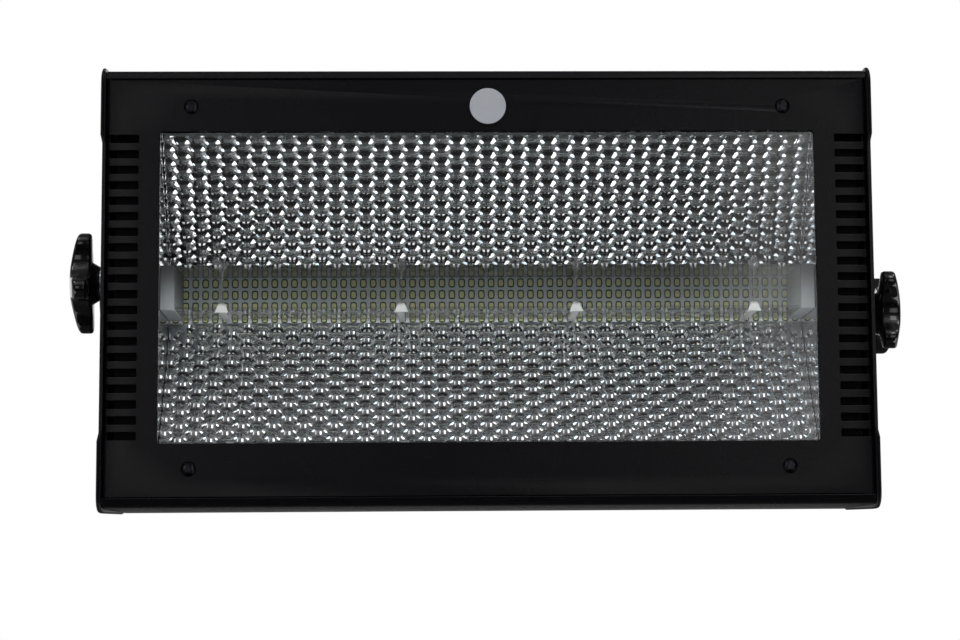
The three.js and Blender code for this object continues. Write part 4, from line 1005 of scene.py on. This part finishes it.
any_turn = {RANDOM_MIN: 0.0, RANDOM_MAX: math.tau, "Seed": size["Seed"]}
turn = start.node("FunctionNodeRandomValue", {"data_type": "FLOAT"}, any_turn, output=RANDOM_RESULT)
turned = start.node("FunctionNodeAxisAngleToRotation", None, {"Axis": (0, 0, 1), "Angle": turn})
facing = start.node("GeometryNodeInputNamedAttribute", {"data_type": "FLOAT_VECTOR"}, {"Name": "facing"})
aiming = {"Rotation": turned, "Vector": facing}
aimed = start.node("FunctionNodeAlignRotationToVector", {"axis": "Z"}, aiming)
spread = {"Points": places, "Instance": head, "Rotation": aimed}
screw_tree = end_tree(start.node("GeometryNodeInstanceOnPoints", None, spread), black_screw)


# %% Front screws
def screw_set(name, spots, slot, material, stands_for=(), **sizes):
    """Screws at a list of (place, direction)."""
    base = bpy.data.meshes.new(name)
    base.from_pydata([tuple(place) for place, way in spots], [], [])
    facing = base.attributes.new("facing", "FLOAT_VECTOR", "POINT")
    facing.data.foreach_set("vector", [part for place, way in spots for part in way])
    settle(grown(name, screw_tree, base, **sizes), "lamp_body", material, stands_for)


front_names = [f"front_screw_{number}" for number in range(1, 5)]
bezel_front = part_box("front_bezel")[0].y
front_spots = []
for name in front_names:
    low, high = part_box(name)
    front_spots.append((Vector(((low.x + high.x) / 2, bezel_front, (low.z + high.z) / 2)), (0, -1, 0)))
screw_set("front_screws", front_spots, "black_screw", black_screw, front_names)

# %% [markdown]
# The yoke is one bent steel strap with an ear on each side. A pivot bolt, a friction disc and a lock
# stud join it to the lamp body at each ear, and a washer lies under each knob. The yoke is painted, and
# what turns or slides on it is bare zinc-plated steel, since paint would wear off there.

# %% Yoke and pivots
PAIR = "left_{0} right_{0}"
dress_all(
    (
        ("yoke", "black_paint", black_paint, 0.5),
        (PAIR.format("pivot_bolt"), "zinc_steel", zinc_steel, 0.3),
        (PAIR.format("friction_disc"), "rubber", rubber, 0.2),
        (PAIR.format("lock_stud"), "zinc_steel", zinc_steel, 0.2),
        (PAIR.format("knob_washer"), "zinc_steel", zinc_steel, 0.2),
        (PAIR.format("pivot_bracket"), "zinc_steel", zinc_steel, 0.25),
    )
)

# %% [markdown]
# The lock knobs are glossy black mouldings with four round lobes. Their outer face is one flat dome, and
# all edges are round. A bevel on the frame's knob would break up where lobes and hollows meet, so mesh
# code lofts a knob through rings instead: each ring is the lobed outline moved inwards by some amount,
# or a circle, at a height along the stud. The dome gives each point its own height.

# %% Knob outline
LOBES = 4
LOBE_REACH = 22.7 * MM
LOBE_RADIUS = 6.1 * MM
HOLLOW_REACH = 13.5 * MM
ARC_STEPS = 10


def arc(reach, turn, radius, start_angle, end_angle, steps):
    """Points on an arc whose centre lies at a distance and an angle from the knob's middle."""
    points = []
    for step in steps:
        angle = start_angle + (end_angle - start_angle) * step / ARC_STEPS
        across = reach * math.cos(turn) + radius * math.cos(angle)
        points.append((across, reach * math.sin(turn) + radius * math.sin(angle)))
    return points


def knob_outline(inset):
    """The lobed outline, moved inwards: lobes get smaller and the hollows between them get larger."""
    half = math.pi / LOBES
    excess = LOBE_RADIUS - HOLLOW_REACH
    hollow = (LOBE_REACH**2 - excess**2) / (2 * (LOBE_REACH * math.cos(half) + excess))
    swing = math.atan2(hollow * math.sin(half), hollow * math.cos(half) - LOBE_REACH)
    points = []
    for lobe in range(LOBES):
        turn = lobe * 2 * half
        lobe_radius = LOBE_RADIUS - inset
        points += arc(LOBE_REACH, turn, lobe_radius, turn - swing, turn + swing, range(ARC_STEPS + 1))
        ends = (turn + math.pi + swing, turn + 2 * half + math.pi - swing)
        points += arc(hollow, turn + half, hollow - HOLLOW_REACH + inset, *ends, range(1, ARC_STEPS))
    return points


print("knob outline has", len(knob_outline(0)), "points")

# %% [markdown]
# The rings run from the end of the bore, out under the foot, up the hub, round the edge of the lobes,
# over the dome and to its middle. Both rounded edges are quarter circles, taken at a few angles.

# %% Knob rings
HUB_RINGS = ((4.3, 11.3), (4.3, 0.3), (4.6, 0.0), (9.1, 0.0), (9.5, 0.3), (12.0, 4.3), (12.6, 4.7))
HUB_HEIGHT = 4.7 * MM
RIM_HEIGHT = 12.0 * MM
EDGE_RADIUS = 1.6 * MM
LOWER_EDGE = (0, 30, 60, 90)
UPPER_EDGE = (0, 22, 45, 68, 90)
DOME_SHARES = (0.8, 0.6, 0.4, 0.2)


def quarter(degrees):
    """How far a quarter circle lies inside its corner at an angle, in each of the two directions."""
    turn = math.radians(degrees)
    return EDGE_RADIUS * (1 - math.sin(turn)), EDGE_RADIUS * (1 - math.cos(turn))


def knob_rings(total):
    """Rings of a knob of some height, as lists of (across, up, height)."""

    def dome(a, b):
        fall = (a * a + b * b) / (LOBE_REACH + LOBE_RADIUS) ** 2
        return RIM_HEIGHT + (total - RIM_HEIGHT) * (1 - fall)

    angles = [math.atan2(b, a) for a, b in knob_outline(0)]
    rings = []
    for radius, height in HUB_RINGS:
        rings.append([(radius * MM * math.cos(t), radius * MM * math.sin(t), height * MM) for t in angles])
    for degrees in LOWER_EDGE:
        inset, rise = quarter(degrees)
        rings.append([(a, b, HUB_HEIGHT + rise) for a, b in knob_outline(inset)])
    for degrees in UPPER_EDGE:
        drop, inset = quarter(degrees)
        rings.append([(a, b, dome(a, b) - drop) for a, b in knob_outline(inset)])
    for share in DOME_SHARES:
        inner = [(a * share, b * share) for a, b in knob_outline(EDGE_RADIUS)]
        rings.append([(a, b, dome(a, b)) for a, b in inner])
    return rings


print("a knob has", len(knob_rings(RIM_HEIGHT)), "rings")

# %% [markdown]
# A knob sits on its stud, turned as the frame's knob is: the corner farthest from the stud is the tip of
# a lobe and gives the angle. Faces join each ring to the next, a fan closes the dome, and one face ends
# the bore. The knob rides on a body of its own, so it turns in the other poses.

# %% Lock knobs
KNOB_CREASE = math.radians(60)


def loft(shape, rings, pole):
    """Faces between neighbouring rings, one face on the first ring and a fan on the last."""
    for first, second in zip(rings, rings[1:]):
        for i in range(len(first)):
            shape.faces.new((first[i - 1], first[i], second[i], second[i - 1]))
    for i in range(len(rings[-1])):
        shape.faces.new((rings[-1][i - 1], rings[-1][i], pole))
    shape.faces.new(rings[0])
    bmesh.ops.recalc_face_normals(shape, faces=shape.faces)


def lock_knob(side, sign):
    name = f"{side}_lock_knob"
    low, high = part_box(name)
    stud_low, stud_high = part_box(f"{side}_lock_stud")
    middle = (stud_low + stud_high) / 2
    inner, outer = sorted((abs(low.x), abs(high.x)))
    corners = [vertex.co for vertex in nodes[name].data.vertices]
    tip = max(corners, key=lambda co: (co.y - middle.y) ** 2 + (co.z - middle.z) ** 2)
    turn = math.atan2(tip.z - middle.z, tip.y - middle.y)
    shape = bmesh.new()
    rings = []
    for ring in knob_rings(outer - inner):
        placed = []
        for a, b, height in ring:
            y = middle.y + a * math.cos(turn) - b * math.sin(turn)
            z = middle.z + a * math.sin(turn) + b * math.cos(turn)
            placed.append(shape.verts.new((sign * (inner + height), y, z)))
        rings.append(placed)
    loft(shape, rings, shape.verts.new((sign * outer, middle.y, middle.z)))
    made = from_shape(f"{name}_finished", shape)
    settle(made, body_of(name), bakelite, [name], KNOB_CREASE)
    print(name, "turned by", round(math.degrees(turn), 1))


for side, sign in SIDES:
    lock_knob(side, sign)

# %% [markdown]
# Two fans blow through the rear wall, each behind a black guard of rings on spokes. Frame and rotor are
# moulded plastic, which is duller than paint and has a finer skin. A rotor rides on a body of its own,
# and Object coordinates keep its finish in place as it turns.

# %% Fans
dress_all(
    (
        (PAIR.format("fan_frame"), "black_plastic", black_plastic, 0.3),
        (PAIR.format("fan_rotor"), "black_plastic", black_plastic, 0.2),
        (PAIR.format("fan_guard"), "black_paint", black_paint, 0.3),
    )
)

# %% [markdown]
# The rear panel is painted sheet like the shell. It carries the display behind smoked plastic, four
# buttons, the data sockets, the mains inlet and the fuse, all moulded, and a plated eye for a safety
# wire. Buttons, latch and fuse cap ride on bodies of their own, which dress_all takes from the frame.

# %% Rear panel and fittings
MENU_BUTTONS = " ".join(f"menu_button_{number}" for number in range(1, 5))
dress_all(
    (
        ("rear_panel", "black_paint", black_paint, 0.3),
        ("display_window", "smoked_plastic", smoked_plastic, 0.2),
        (MENU_BUTTONS, "black_plastic", black_plastic, 0.3),
        ("dmx_in dmx_out", "black_plastic", black_plastic, 0.3),
        ("dmx_out_latch", "zinc_steel", zinc_steel, 0.2),
        ("mains_inlet", "black_plastic", black_plastic, 0.3),
        ("fuse_holder fuse_cap", "bakelite", bakelite, 0.2),
        ("safety_eye", "zinc_steel", zinc_steel, 0.3),
    )
)

# %% [markdown]
# Screws of the same kind hold the fans, the rear panel, the inlet and the end cheeks. A ray from outside
# finds the face under each place, so that the heads sit on the sheet whatever its depth. The cheeks'
# heads are countersunk and stand out very little, because the yoke's ears pass over them.

# %% Helpers for the other screws
FAR = 1.0
BACK = (0, 1, 0)


def landings(name, places, way):
    """Where rays from outside meet a piece that faces a way, one for each place, with that way."""
    shape = merged(name)
    tree = BVHTree.FromBMesh(shape)
    shape.free()
    way = Vector(way)
    spots = []
    for place in places:
        place = Vector(place)
        outside = place - way * place.dot(way) + way * FAR
        spots.append((tree.ray_cast(outside, -way)[0], tuple(way)))
    return spots


def inset_corners(name, inset):
    """Four places inside the corners of a piece's box, seen from behind."""
    low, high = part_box(name)
    return [(x, 0, z) for x in (low.x + inset, high.x - inset) for z in (low.z + inset, high.z - inset)]


# %% Screws of the rear panel and the fans
PANEL_INSET = 7 * MM
FAN_HOLE = 35.75 * MM
REAR_HEAD = {"Head Radius": 3.0 * MM}

rear_spots = landings("rear_panel", inset_corners("rear_panel", PANEL_INSET), BACK)
for side, sign in SIDES:
    low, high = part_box(f"{side}_fan_frame")
    inset = (high.x - low.x) / 2 - FAN_HOLE
    rear_spots += landings("housing_shell", inset_corners(f"{side}_fan_frame", inset), BACK)
screw_set("rear_screws", rear_spots, "black_screw", black_screw, **REAR_HEAD)

# %% Screws of the mains inlet
INLET_INSET = 4.5 * MM
SMALL_HEAD = {"Head Radius": 2.2 * MM, "Head Height": 0.8 * MM}
SMALL_RECESS = {"Recess Length": 2.8 * MM, "Recess Width": 0.7 * MM}

low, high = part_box("mains_inlet")
inlet_places = [(x, 0, (low.z + high.z) / 2) for x in (low.x + INLET_INSET, high.x - INLET_INSET)]
inlet_spots = landings("mains_inlet", inlet_places, BACK)
screw_set("inlet_screws", inlet_spots, "zinc_steel", zinc_steel, **SMALL_HEAD, **SMALL_RECESS)

# %% Screws of the end cheeks
CHEEK_INSET = 14 * MM
CHEEK_REAR = -20 * MM
FLUSH_HEAD = {"Head Radius": 3.2 * MM, "Head Height": 0.4 * MM}

cheek_spots = []
for side, sign in SIDES:
    low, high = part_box(f"{side}_end_cheek")
    heights = (low.z + CHEEK_INSET, high.z - CHEEK_INSET)
    places = [(0, y, z) for y in (low.y + CHEEK_INSET, CHEEK_REAR) for z in heights]
    cheek_spots += landings(f"{side}_end_cheek", places, (sign, 0, 0))
screw_set("cheek_screws", cheek_spots, "black_screw", black_screw, **FLUSH_HEAD)

# %% [markdown]
# Inside are the finned heat sink of the diode board, the power supply in its case, and two boards. They
# are seen when the lamp is taken apart, so they get real finishes too: bare extruded aluminium, a
# pressed case with its lines the other way, and green solder mask.

# %% Inside
dress_all(
    (
        ("led_heatsink", "bare_aluminium", bare_aluminium, 0.2),
        ("power_supply", "supply_case", supply_case, 0.3),
        ("driver_board control_board", "green_board", green_board, 0.15),
    )
)
